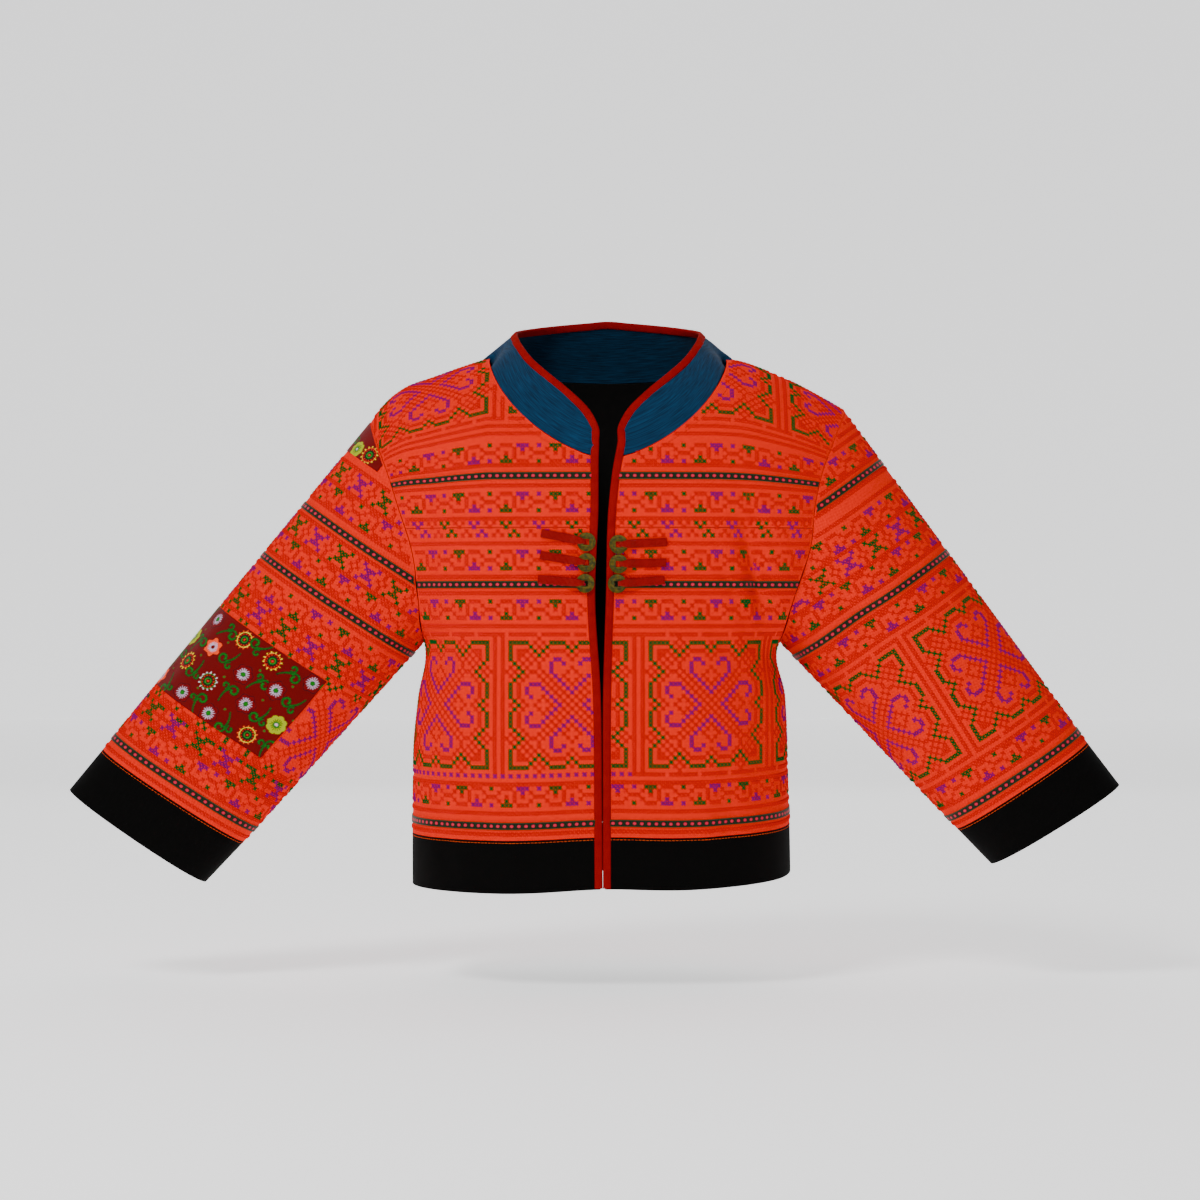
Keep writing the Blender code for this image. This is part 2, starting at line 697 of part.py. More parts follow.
# ---------------------------------------------------------------- trims laid on the panels
def binding():
    """Red binding up one front edge, round the collar and down the other front edge."""
    levels = (HEM_Z + 2.0, HEM_SEAM_Z) + LOWER_LEVELS[1:] + armhole_levels()[1:]
    levels = tuple(level for level in levels if level < COLLAR[0][2] - 4.0)
    edges, inwards, outs = [], [], []
    for side in (RIGHT, LEFT):
        points, steps, facings = [], [], []
        for level in levels:
            start = inner_x(side, level)
            row = np.array(body_row("front", level, start, start + side * 12.0, 1))
            points.append(row[0])
            steps.append(row[1] - row[0])
            facings.append((0.0, -1.0, 0.1))
        points.append(collar_top(side, 0.0))
        steps.append(np.array((side, 0.0, 0.0)))
        facings.append((0.0, -1.0, 0.2))
        if side == LEFT:
            points, steps, facings = points[::-1], steps[::-1], facings[::-1]
        edges.append(points)
        inwards.append(steps)
        outs.append(facings)
    stations = [pair for pair in collar_stations() if pair[1] > COLLAR_START]
    tops = [collar_top(side, share) for side, share in stations]
    downs = [neck_point(side, share) - top for (side, share), top in zip(stations, tops)]
    away = [(top[0] - NECK_X, top[1] * 1.2, 12.0) for top in tops]
    path = np.array(edges[0] + tops + edges[1])
    inward = np.array(inwards[0] + downs + inwards[1])
    out = np.array(outs[0] + away + outs[1], dtype=float)
    inward = square_to(path, inward)
    out = square_to(path, out)
    out -= np.sum(out * inward, axis=1, keepdims=True) * inward
    out /= np.linalg.norm(out, axis=1, keepdims=True)
    face = path + out * BINDING_PROUD
    outer = np.array((face, face + inward * BINDING_WIDTH))
    inner = outer - out * (WALL + 2 * BINDING_PROUD)
    sheet("edge_binding", outer, inner, RED, CLOTH)


def column_heights(grid, first_row=0):
    """Length along each column of a grid from its first row."""
    steps = np.linalg.norm(np.diff(grid, axis=0), axis=2)
    return np.vstack((np.zeros(grid.shape[1]), np.cumsum(steps, axis=0)))[first_row:]


def on_column(grid, normal, column, height):
    """Point and normal at a height along one column, which may lie between two columns."""
    low = int(math.floor(column))
    share = column - low
    found = []
    for index in (low, low + 1):
        line = grid[:, index % grid.shape[1]]
        lengths = np.concatenate(((0.0,), np.cumsum(np.linalg.norm(np.diff(line, axis=0), axis=1))))
        point = [np.interp(height, lengths, line[:, axis]) for axis in range(3)]
        leaning = normal[:, index % grid.shape[1]]
        lean = [np.interp(height, lengths, leaning[:, axis]) for axis in range(3)]
        found.append((np.array(point), np.array(lean)))
    point = found[0][0] * (1 - share) + found[1][0] * share
    lean = found[0][1] * (1 - share) + found[1][1] * share
    return point, lean / np.linalg.norm(lean)


def laid_strip(name, grid, normal, columns, heights, colour, closed=False, thick=TRIM_WALL):
    """Flat piece on a panel, through given columns at given heights."""
    under, over = [], []
    for height in heights:
        pairs = [on_column(grid, normal, column, height(column) if callable(height) else height)
                 for column in columns]
        under.append([point + lean * LAID_ON for point, lean in pairs])
        over.append([point + lean * (LAID_ON + thick) for point, lean in pairs])
    sheet(name, np.array(over), np.array(under), colour, CLOTH, closed)


def beside_row(middle, shift, column):
    """Height of a ribbon's edge at a column, beside the row that the ribbon follows."""
    low = min(int(math.floor(column)), len(middle) - 2)
    share = column - low
    return middle[low] * (1 - share) + middle[low + 1] * share + shift


def ribbons(panels):
    """Trim ribbons across the fronts, the back and round the sleeves."""
    all_levels = LOWER_LEVELS + armhole_levels()[1:]
    for word in ("right", "left", "back"):
        grid, direction = panels[word]
        last = grid.shape[1] - 1
        first_column = 0.12 if word == "back" else 0.42
        columns = [first_column] + list(range(1, last)) + [last - 0.12]
        lengths = column_heights(grid)
        for row, level in enumerate(RIBBON_LEVELS, start=1):
            middle = lengths[all_levels.index(level)]
            heights = [partial(beside_row, middle, shift) for shift in (-RIBBON_WIDTH / 2, RIBBON_WIDTH / 2)]
            name = f"ribbon_back_{row}" if word == "back" else f"ribbon_front_{word}_{row}"
            laid_strip(name, grid, -direction, columns, heights, PINK)
    for side, word in ((RIGHT, "right"), (LEFT, "left")):
        grid = sleeve_grid(side)
        normal = facing(grid, normals(grid, closed=True), grid.mean(axis=1, keepdims=True))
        for row, height in enumerate(SLEEVE_RIBBONS[side], start=1):
            heights = (height - RIBBON_WIDTH / 2, height + RIBBON_WIDTH / 2)
            columns = reaching_columns(grid, height + RIBBON_WIDTH)
            closed = len(columns) == grid.shape[1]
            laid_strip(f"ribbon_sleeve_{word}_{row}", grid, normal, columns, heights, PINK, closed)


def reaching_columns(grid, height):
    """Columns of a sleeve that are longer than a height, with part columns at the armhole."""
    lengths = column_heights(grid)[-1]
    count = grid.shape[1]
    if lengths.min() > height:
        return list(range(count))
    columns = [0.0]
    for step in (1, -1):
        index = 0
        while lengths[(index + step) % count] > height:
            index += step
            columns.append(float(index))
        here, there = lengths[index % count], lengths[(index + step) % count]
        columns.append(index + step * (here - height) / (here - there))
    return sorted(columns)


def patches():
    """Printed patches on the wearer's right sleeve: one on the forearm, one at the shoulder."""
    grid = sleeve_grid(RIGHT)
    normal = facing(grid, normals(grid, closed=True), grid.mean(axis=1, keepdims=True))
    turns = loop_turns(RIGHT)
    count = len(turns)
    signed = [turn if turn <= 180 else turn - 360 for turn in turns]
    order = sorted(range(count), key=lambda index: signed[index])
    ordered = [signed[index] for index in order]
    indices = [index if signed[index] >= 0 else index - count for index in order]
    first = np.interp(PATCH_BACK, ordered, indices)
    last = np.interp(PATCH_FRONT, ordered, indices)
    inside = [index for index in indices if first + 0.2 < index < last - 0.2]
    columns = [first] + inside + [last]
    heights = np.linspace(PATCH_LOW, PATCH_HIGH, 4)
    laid_strip("patch_forearm", grid, normal, columns, heights, MAROON)
    lengths = column_heights(grid)[-1]
    columns = reaching_columns(grid, SHOULDER_PATCH_LOW + 7.0)

    def top(column):
        """Upper edge of the shoulder patch, just short of the armhole."""
        low = int(math.floor(column))
        share = column - low
        return lengths[low % count] * (1 - share) + lengths[(low + 1) % count] * share - 2.0

    laid_strip("patch_shoulder", grid, normal, columns, (SHOULDER_PATCH_LOW, top), MAROON)


# ---------------------------------------------------------------- fasteners
def front_frame(x, z):
    """Point and outward normal of the front cloth."""
    step = 4.0
    point = np.array((x, float(body_depth("front", x, z)), z))
    right = np.array((x + step, float(body_depth("front", x + step, z)), z))
    above = np.array((x, float(body_depth("front", x, z + step)), z + step))
    normal = np.cross(right - point, above - point)
    return point, normal / np.linalg.norm(normal)


def strap(name, coin, tail, seat):
    """Folded strap sewn to the front, over the coin's rim and into its hole."""
    coin, tail = np.array(coin), np.array(tail)
    length = float(np.linalg.norm(coin - tail))
    direction = (coin - tail) / length
    side_step = np.array((-direction[1], direction[0]))
    rim = length - COIN_RADIUS
    # along the strap, height above the cloth, width
    profile = (
        (0.0, seat, STRAP_WIDTH),
        ((rim - 7.0) / 2, seat, STRAP_WIDTH),
        (rim - 7.0, seat, STRAP_WIDTH),
        (rim - 1.5, seat + 2.3, STRAP_WIDTH - 0.4),
        (rim + 2.0, seat + 2.5, STRAP_WIDTH - 1.0),
        (length - COIN_HOLE / 2 - 0.4, seat + 2.3, COIN_HOLE - 0.6),
        (length - 0.6, seat + 0.6, COIN_HOLE - 0.9),
    )
    outer, inner = [[], []], [[], []]
    for along, lift, width in profile:
        for row, offset in enumerate((-width / 2, width / 2)):
            place_x, place_z = tail + direction * along + side_step * offset
            point, normal = front_frame(place_x, place_z)
            outer[row].append(point + normal * (lift + STRAP_WALL))
            inner[row].append(point + normal * lift)
    sheet(name, np.array(outer), np.array(inner), DARK_RED, CLOTH)


def coin(name, centre, seat, cutters):
    """Round coin with a square hole, resting on the front edge."""
    point, normal = front_frame(*centre)
    middle = point + normal * (seat + COIN_THICK / 2)
    mesh = bpy.data.meshes.new(name)
    disc = bmesh.new()
    bmesh.ops.create_cone(disc, cap_ends=True, segments=28, radius1=COIN_RADIUS * MM,
                          radius2=COIN_RADIUS * MM, depth=COIN_THICK * MM)
    disc.to_mesh(mesh)
    disc.free()
    body = place(name, mesh, BRASS, METAL)
    hole_mesh = bpy.data.meshes.new(f"{name}_hole")
    hole = bmesh.new()
    bmesh.ops.create_cube(hole, size=COIN_HOLE * MM)
    hole.to_mesh(hole_mesh)
    hole.free()
    cutter = bpy.data.objects.new(f"{name}_hole", hole_mesh)
    cutter.hide_render = True
    cutter.display_type = "WIRE"
    cutters.objects.link(cutter)
    lean = Vector(normal).to_track_quat("Z", "X")
    for piece in (body, cutter):
        piece.rotation_mode = "QUATERNION"
        piece.rotation_quaternion = lean
        piece.location = Vector(middle) * MM
    cut = body.modifiers.new("square_hole", "BOOLEAN")
    cut.operation = "DIFFERENCE"
    cut.solver = "EXACT"
    cut.object = cutter


def fasteners(cutters):
    """Three coins on straps down each front edge."""
    for side, row, coin_x, coin_z, tail_x, tail_z in FASTENERS:
        word = "right" if side == RIGHT else "left"
        strap(f"strap_{word}_{row}", (coin_x, coin_z), (tail_x, tail_z), SEAT[row])
        coin(f"coin_{word}_{row}", (coin_x, coin_z), SEAT[row], cutters)


def build():
    """Make every piece of the jacket."""
    for old in list(bpy.data.objects):
        bpy.data.objects.remove(old, do_unlink=True)
    collection = bpy.data.collections.new(COLLECTION)
    cutters = bpy.data.collections.new("cutters")
    for group in (collection, cutters):
        bpy.context.scene.collection.children.link(group)
    panels = body_panels()
    hem_bands()
    sleeves()
    collar()
    binding()
    ribbons(panels)
    patches()
    fasteners(cutters)


build()
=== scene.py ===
"""Looks of a cross-stitched jacket with a stand collar and coin fasteners, round its CAD part.

X runs from the wearer's right (-X) to the wearer's left, the front faces -Y and Z is up.  The cloth
follows the same tables as the solids.  Sizes are in millimetres until a mesh is written, in metres.
"""

import logging
import math
from dataclasses import dataclass
from enum import Enum
from typing import Callable, Dict, List, Optional, Sequence, Tuple

import bpy
import numpy as np
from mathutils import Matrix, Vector

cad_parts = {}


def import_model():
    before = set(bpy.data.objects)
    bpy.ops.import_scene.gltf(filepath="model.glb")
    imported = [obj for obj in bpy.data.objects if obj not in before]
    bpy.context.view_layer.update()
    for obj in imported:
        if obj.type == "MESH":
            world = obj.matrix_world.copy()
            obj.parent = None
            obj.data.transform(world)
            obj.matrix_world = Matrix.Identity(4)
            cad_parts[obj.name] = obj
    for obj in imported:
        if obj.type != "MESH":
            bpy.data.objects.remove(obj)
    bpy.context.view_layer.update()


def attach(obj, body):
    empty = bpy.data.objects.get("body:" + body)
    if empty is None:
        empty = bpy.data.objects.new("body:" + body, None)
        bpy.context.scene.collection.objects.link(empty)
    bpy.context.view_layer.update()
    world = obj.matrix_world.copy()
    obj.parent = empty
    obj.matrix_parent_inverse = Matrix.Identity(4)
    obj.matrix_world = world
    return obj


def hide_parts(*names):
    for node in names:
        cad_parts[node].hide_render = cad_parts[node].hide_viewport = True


Tree = bpy.types.NodeTree
Socket = bpy.types.NodeSocket
Obj = bpy.types.Object
MM = 0.001
CELL = 4.0
LOG = logging.getLogger("jacket")
Array = np.ndarray
Table = Tuple[Tuple[float, ...], ...]
Pair = Tuple[float, float]
Triple = Tuple[float, float, float]


class Side(Enum):
    """Side of the wearer, with its sign along X."""

    RIGHT = -1
    LEFT = 1

    @property
    def word(self) -> str:
        """Name of the side as the CAD nodes spell it."""
        return self.name.lower()


class Face(Enum):
    """Face of the body."""

    FRONT = "front"
    BACK = "back"


class Thread(Enum):
    """Embroidery threads, with the code each has in a chart."""

    RED = 1
    GREEN = 2
    PURPLE = 3


# ---------------------------------------------------------------- form
@dataclass(frozen=True)
class BodySizes:
    """Sizes of the body, the same as the CAD part's."""

    neck_z: float = -1.0
    yoke_z: float = -172.0
    armpit_z: float = -283.0
    hem_seam_z: float = -474.0
    hem_z: float = -525.0
    depths: Pair = (118.0, 112.0)
    section_power: float = 0.8
    shoulder_round: float = 170.0
    shoulder_power: float = 2.2
    neck_x: float = 6.0
    neck_half: float = 118.0
    neck_front_drop: float = 104.0
    neck_front_power: float = 1.6
    neck_back_drop: float = 16.0
    neck_back_dome: float = 45.0
    half: Table = ((-530.0, 189.0, 188.0), (-474.0, 189.0, 187.0), (-430.0, 188.0, 185.0),
                   (-382.0, 187.0, 184.0), (-342.0, 183.0, 182.0), (-283.0, 177.0, 177.0),
                   (-250.0, 194.0, 205.0), (-190.0, 212.0, 232.0), (-50.0, 256.0, 276.0),
                   (0.0, 266.0, 286.0))
    armhole: Table = ((-283.0, 177.0, 177.0), (-260.0, 179.0, 182.0), (-233.0, 181.0, 190.0),
                      (-190.0, 187.0, 204.0), (-150.0, 200.0, 208.0), (-122.0, 209.0, 214.0),
                      (-90.0, 221.0, 226.0), (-63.0, 230.0, 238.0), (-54.0, 233.0, 243.0))
    ridge: Table = ((112.0, -1.0, -1.0), (137.0, -9.0, -4.0), (168.0, -20.0, -15.0),
                    (197.0, -31.0, -28.0), (212.0, -42.0, -36.0), (230.0, -63.0, -46.0),
                    (243.0, -84.0, -54.0), (262.0, -110.0, -72.0))
    edge: Table = ((-530.0, 0.0, 1.4), (-440.0, -0.6, 1.4), (-331.0, -2.0, 1.6), (-242.0, -7.2, 4.2),
                   (-146.0, -4.0, 7.4), (-118.0, -4.0, 10.5), (-90.0, -4.0, 15.5))
    hem_lift: Table = ((-180.0, 3.0), (-90.0, 2.0), (-40.0, -1.0), (0.0, 4.0), (40.0, 3.0),
                       (70.0, 9.0), (90.0, 15.0), (130.0, 8.0), (180.0, 3.0))
    ribbon_levels: Triple = (-460.0, -227.0, -122.0)


@dataclass(frozen=True)
class Fold:
    """Soft trough in the cloth (a ridge where the depth is negative), from head to foot."""

    head: Pair
    foot: Pair
    width: float
    depth: float

    def press(self, across: Array, up: Array) -> Array:
        """Depth that the fold presses in at points of the cloth.

        Args:
            across: first coordinate of the points.
            up: second coordinate of the points.

        Returns:
            Depth in millimetres, inward.
        """
        run_a, run_b = self.foot[0] - self.head[0], self.foot[1] - self.head[1]
        length = math.hypot(run_a, run_b)
        along = ((across - self.head[0]) * run_a + (up - self.head[1]) * run_b) / length ** 2
        beside = ((across - self.head[0]) * run_b - (up - self.head[1]) * run_a) / length
        ends = np.clip(1 - (2 * along - 1) ** 2, 0.0, 1.0)
        return self.depth * ends * np.exp(-(beside / self.width) ** 2)


MAIN_FOLDS: Dict[Face, Tuple[Fold, ...]] = {
    Face.FRONT: (
        Fold((-164.0, -92.0), (-176.0, -270.0), 17.0, 7.0),
        Fold((131.0, -150.0), (166.0, -262.0), 13.0, 9.0),
        Fold((152.0, -215.0), (171.0, -275.0), 10.0, 3.0),
        Fold((150.0, -330.0), (158.0, -460.0), 16.0, 5.0),
        Fold((-128.0, -395.0), (-120.0, -474.0), 20.0, 4.0),
    ),
    Face.BACK: (
        Fold((-140.0, -120.0), (-156.0, -268.0), 20.0, 5.0),
        Fold((138.0, -130.0), (156.0, -265.0), 20.0, 5.0),
        Fold((-70.0, -250.0), (-84.0, -470.0), 22.0, 5.0),
        Fold((64.0, -270.0), (82.0, -470.0), 24.0, 5.0),
    ),
}
# Smaller creases of the body in X and Z: at the armpits, the waist and under the straps
SMALL_FOLDS: Dict[Face, Tuple[Fold, ...]] = {
    Face.FRONT: (
        Fold((-118.0, -120.0), (-150.0, -205.0), 8.0, 2.2),
        Fold((-140.0, -232.0), (-158.0, -330.0), 8.0, 2.4),
        Fold((-60.0, -250.0), (-74.0, -400.0), 14.0, 1.8),
        Fold((-96.0, -440.0), (-84.0, -520.0), 12.0, -2.2),
        Fold((-30.0, -300.0), (-26.0, -520.0), 11.0, 1.6),
        Fold((-158.0, -400.0), (-150.0, -520.0), 9.0, 2.2),
        Fold((136.0, -158.0), (160.0, -290.0), 6.5, 7.0),
        Fold((112.0, -196.0), (154.0, -300.0), 6.0, 2.8),
        Fold((143.0, -180.0), (168.0, -246.0), 5.0, -2.4),
        Fold((96.0, -236.0), (140.0, -330.0), 8.0, 2.0),
        Fold((126.0, -110.0), (182.0, -214.0), 7.0, 2.4),
        Fold((60.0, -300.0), (52.0, -470.0), 13.0, 1.8),
        Fold((24.0, -380.0), (30.0, -520.0), 9.0, 1.8),
        Fold((104.0, -420.0), (98.0, -522.0), 10.0, -2.4),
        Fold((120.0, -340.0), (126.0, -500.0), 9.0, 2.2),
    ),
    Face.BACK: (
        Fold((-40.0, -60.0), (-52.0, -250.0), 14.0, 2.0),
        Fold((30.0, -80.0), (44.0, -300.0), 14.0, 2.0),
        Fold((-120.0, -190.0), (-160.0, -300.0), 8.0, 2.6),
        Fold((118.0, -196.0), (156.0, -312.0), 8.0, 2.6),
        Fold((-20.0, -330.0), (-14.0, -520.0), 12.0, 2.2),
        Fold((118.0, -360.0), (124.0, -520.0), 12.0, 2.4),
        Fold((-130.0, -370.0), (-138.0, -520.0), 12.0, 2.4),
        Fold((36.0, -430.0), (40.0, -520.0), 10.0, -2.0),
    ),
}


def read(table: Table, column: int, at: Array) -> Array:
    """Read one column of a table along its first column on a smooth cubic curve.

    Args:
        table: rows of numbers, rising in the first column.
        column: the column to read.
        at: places along the first column.

    Returns:
        The values there.
    """
    knots = np.array([row[0] for row in table], dtype=float)
    values = np.array([row[column] for row in table], dtype=float)
    slopes = np.gradient(values, knots)
    at = np.clip(np.asarray(at, dtype=float), knots[0], knots[-1])
    span = np.clip(np.searchsorted(knots, at, side="right") - 1, 0, len(knots) - 2)
    width = knots[span + 1] - knots[span]
    t = (at - knots[span]) / width
    return (values[span] * (2 * t ** 3 - 3 * t ** 2 + 1) + slopes[span] * width * (t ** 3 - 2 * t ** 2 + t)
            + values[span + 1] * (3 * t ** 2 - 2 * t ** 3) + slopes[span + 1] * width * (t ** 3 - t ** 2))


class BodyForm:
    """Surface of the hollow body, by X and level."""

    def __init__(self, sizes: BodySizes) -> None:
        """Keep the sizes.

        Args:
            sizes: the body's sizes.
        """
        self.sizes = sizes

    def ridge(self, x: Array) -> Array:
        """Height of the shoulder ridge above X."""
        table = self.sizes.ridge
        return np.where(x < 0, read(table, 1, np.abs(x)), read(table, 2, np.abs(x)))

    def neck_share(self, x: Array) -> Array:
        """Share of the way from the middle of the neck opening to a neck point."""
        return np.clip(np.abs(x - self.sizes.neck_x) / self.sizes.neck_half, 0.0, 1.0)

    def top(self, face: Face, x: Array) -> Array:
        """Upper edge above X: the shoulder ridge, and the back's neckline between the neck points.

        Args:
            face: front or back.
            x: X of the points.

        Returns:
            Its height or place.
        """
        if face is Face.FRONT:
            return self.ridge(x)
        share = self.neck_share(x)
        neckline = self.sizes.neck_z - self.sizes.neck_back_drop * np.sqrt(1 - share ** 2)
        return np.where(share < 1, neckline, self.ridge(x))

    def half(self, x: Array, z: Array) -> Array:
        """Half width of the level section on the side of X."""
        return np.where(x < 0, read(self.sizes.half, 1, z), read(self.sizes.half, 2, z))

    def depth(self, face: Face, x: Array, z: Array) -> Array:
        """Y of the outer cloth.

        Args:
            face: front or back.
            x: X of the points.
            z: height of the points.

        Returns:
            Y in millimetres.
        """
        sizes = self.sizes
        x, z = np.asarray(x, dtype=float), np.asarray(z, dtype=float)
        power = 2.0 / sizes.section_power
        top = self.ridge(x)
        if face is Face.BACK:
            top = top + sizes.neck_back_dome * (1 - self.neck_share(x) ** 2)
        across = np.clip(np.abs(x) / self.half(x, z), 0.0, 1.0)
        section = (1 - across ** power) ** (1 / power)
        up = 1 - np.clip((top - z) / sizes.shoulder_round, 0.0, 1.0)
        shoulder = (1 - up ** sizes.shoulder_power) ** (1 / sizes.shoulder_power)
        deep = sizes.depths[0 if face is Face.FRONT else 1] * section * shoulder
        edge = np.clip(deep / 40.0, 0.0, 1.0)
        for fold in MAIN_FOLDS[face] + SMALL_FOLDS[face]:
            deep = deep - fold.press(x, z) * edge
        return -deep if face is Face.FRONT else deep

    def row_height(self, face: Face, level: Array, x: Array) -> Array:
        """Height of a row that is level at the chest and follows the upper edge at the top.

        Args:
            face: front or back.
            level: row level.
            x: X of the points.

        Returns:
            Heights.
        """
        sizes = self.sizes
        rise = np.clip((level - sizes.yoke_z) / (sizes.neck_z - sizes.yoke_z), 0.0, 1.0)
        return level + (self.top(face, x) - sizes.neck_z) * rise * rise * (3 - 2 * rise)

    def point(self, face: Face, level: Array, x: Array) -> Array:
        """Points of the cloth.

        Args:
            face: front or back.
            level: row level of each point.
            x: X of each point.

        Returns:
            Points, with a last axis of three.
        """
        sizes = self.sizes
        z = self.row_height(face, level, x)
        y = self.depth(face, x, z)
        side = np.abs(x) >= self.half(x, level) - 0.01
        y = np.where(side & (level <= sizes.armpit_z), 0.0, y)
        over = (face is Face.FRONT) | (np.abs(x - sizes.neck_x) >= sizes.neck_half)
        y = np.where((level >= sizes.neck_z - 0.001) & over, 0.0, y)
        turn = np.degrees(np.arctan2(x, -y))
        hang = np.clip((sizes.armpit_z - z) / (sizes.armpit_z - sizes.hem_z), 0.0, 1.0)
        z = z + read(sizes.hem_lift, 1, turn) * hang
        return np.stack((x, y, z), axis=-1)

    def arm_x(self, face: Face, side: Side, level: float) -> float:
        """X where a row meets the armhole seam, or the side seam below the armpit.

        Args:
            face: front or back.
            side: side of the wearer.
            level: the row's level.

        Returns:
            X in millimetres.
        """
        sign, column = side.value, 1 if side is Side.RIGHT else 2
        if level <= self.sizes.armpit_z:
            return sign * float(self.half(np.array(sign), level))
        x = sign * float(read(self.sizes.armhole, column, level))
        for _ in range(12):
            height = float(self.row_height(face, level, np.array(x)))
            x = sign * float(read(self.sizes.armhole, column, height))
        return x

    def inner_x(self, side: Side, level: float) -> float:
        """X of a front's inner edge: the front edge, then the neckline.

        Args:
            side: side of the wearer.
            level: the row's level.

        Returns:
            X in millimetres.
        """
        sizes = self.sizes
        edge = float(read(sizes.edge, 1 if side is Side.RIGHT else 2, level))
        if level <= sizes.neck_z - sizes.neck_front_drop:
            return edge
        drop = float(np.clip((sizes.neck_z - level) / sizes.neck_front_drop, 0.0, 1.0))
        share = (1 - drop ** sizes.neck_front_power) ** (1 / sizes.neck_front_power)
        neck = sizes.neck_x + side.value * sizes.neck_half * share
        return min(edge, neck) if side is Side.RIGHT else max(edge, neck)


class ClothMap:
    """Cloth surface laid out flat: U runs across in millimetres and V up from the seam."""

    def __init__(self, rows: Array, heights: Array, flags: Array, origin: Array, step: float = 2.0) -> None:
        """Lay rows of points out by their own length.

        Args:
            rows: points of each row, closely spaced across.
            heights: V of each row, evenly spaced.
            flags: a number carried by each point, such as how far it is inside the edge.
            origin: index across, whole or part, at which U is 0 in each row.
            step: spacing across of the laid-out table.
        """
        lengths = np.linalg.norm(np.diff(rows, axis=1), axis=2)
        run = np.concatenate((np.zeros((len(rows), 1)), np.cumsum(lengths, axis=1)), axis=1)
        index = np.arange(rows.shape[1])
        zero = np.array([np.interp(origin[i], index, run[i]) for i in range(len(rows))])
        run = run - zero[:, None]
        self.run = run
        self.first_u, self.last_u = float(run[:, 0].min()), float(run[:, -1].max())
        self.step = step
        self.across = np.arange(self.first_u, self.last_u + step, step)
        self.first_v, self.v_step = float(heights[0]), float(heights[1] - heights[0])
        self.points = np.empty((len(rows), len(self.across), 3))
        self.flags = np.empty((len(rows), len(self.across)))
        for i, row in enumerate(rows):
            for axis in range(3):
                self.points[i, :, axis] = np.interp(self.across, run[i], row[:, axis])
            self.flags[i] = np.interp(self.across, run[i], flags[i])

    def _cell(self, u: Array, v: Array) -> Tuple[Array, Array, Array, Array]:
        """Table cell and the shares across it that points fall in.

        Args:
            u: U of the points.
            v: V of the points.

        Returns:
            Row, column and the shares past them.
        """
        last_up, last_across = (size - 1.001 for size in self.points.shape[:2])
        across = np.clip((np.asarray(u, dtype=float) - self.first_u) / self.step, 0, last_across)
        up = np.clip((np.asarray(v, dtype=float) - self.first_v) / self.v_step, 0, last_up)
        i, j = up.astype(int), across.astype(int)
        return i, j, up - i, across - j

    def _read(self, values: Array, u: Array, v: Array) -> Array:
        """Value at U and V between the entries of a table.

        Args:
            values: the table.
            u: U of the points.
            v: V of the points.

        Returns:
            The values there.
        """
        i, j, b, a = self._cell(u, v)
        if values.ndim == 3:
            a, b = a[..., None], b[..., None]
        low = values[i, j] * (1 - a) + values[i, j + 1] * a
        high = values[i + 1, j] * (1 - a) + values[i + 1, j + 1] * a
        return low * (1 - b) + high * b

    def flag(self, u: Array, v: Array) -> Array:
        """Number carried by the cloth at U and V."""
        return self._read(self.flags, u, v)

    def normal(self, u: Array, v: Array) -> Array:
        """Outward normals, which are U across V.

        Args:
            u: places across.
            v: places up.

        Returns:
            Unit normals.
        """
        gap = 2.0
        across = self._read(self.points, u + gap, v) - self._read(self.points, u - gap, v)
        up = self._read(self.points, u, v + gap) - self._read(self.points, u, v - gap)
        normal = np.cross(across, up)
        return normal / np.maximum(np.linalg.norm(normal, axis=-1, keepdims=True), 1e-9)

    def at(self, u: Array, v: Array, lift: Array = 0.0) -> Array:
        """Points of the cloth at U and V, raised along the normal.

        Args:
            u: places across.
            v: places up.
            lift: height above the cloth.

        Returns:
            Points in millimetres.
        """
        points = self._read(self.points, u, v)
        return points + self.normal(u, v) * np.asarray(lift, dtype=float)[..., None]


# ---------------------------------------------------------------- finishes
def srgb(code: str) -> Tuple[float, float, float, float]:
    """Linear colour of an sRGB hex code.

    Args:
        code: six hex digits after a hash.

    Returns:
        Red, green, blue and 1.
    """
    parts = [int(code[i:i + 2], 16) / 255 for i in (1, 3, 5)]
    linear = [part / 12.92 if part <= 0.04045 else ((part + 0.055) / 1.055) ** 2.4 for part in parts]
    return (linear[0], linear[1], linear[2], 1.0)


def add_node(tree: Tree, kind: str, inputs: Optional[dict] = None, **settings) -> bpy.types.Node:
    """Add a node with its settings and links.

    Args:
        tree: the tree it goes in.
        kind: the node's type.
        inputs: by socket name or number, a value or the socket that feeds it.
        settings: properties of the node.

    Returns:
        The new node.
    """
    node = tree.nodes.new(kind)
    for key, value in settings.items():
        setattr(node, key, value)
    for key, value in (inputs or {}).items():
        if isinstance(value, Socket):
            tree.links.new(value, node.inputs[key])
        else:
            node.inputs[key].default_value = value
    return node


class Weave(Enum):
    """How a finish is patterned."""

    GROUND = "half-cell stitches of the orange ground"
    TWILL = "diagonal rib"
    SLUB = "uneven yarns lying across"
    PLAIN = "plain cotton"
    PRINT = "printed colours over plain cotton"
    RIBBON = "woven ribbon with oval beads"
    THREAD = "stranded embroidery thread"
    METAL = "aged cast metal"


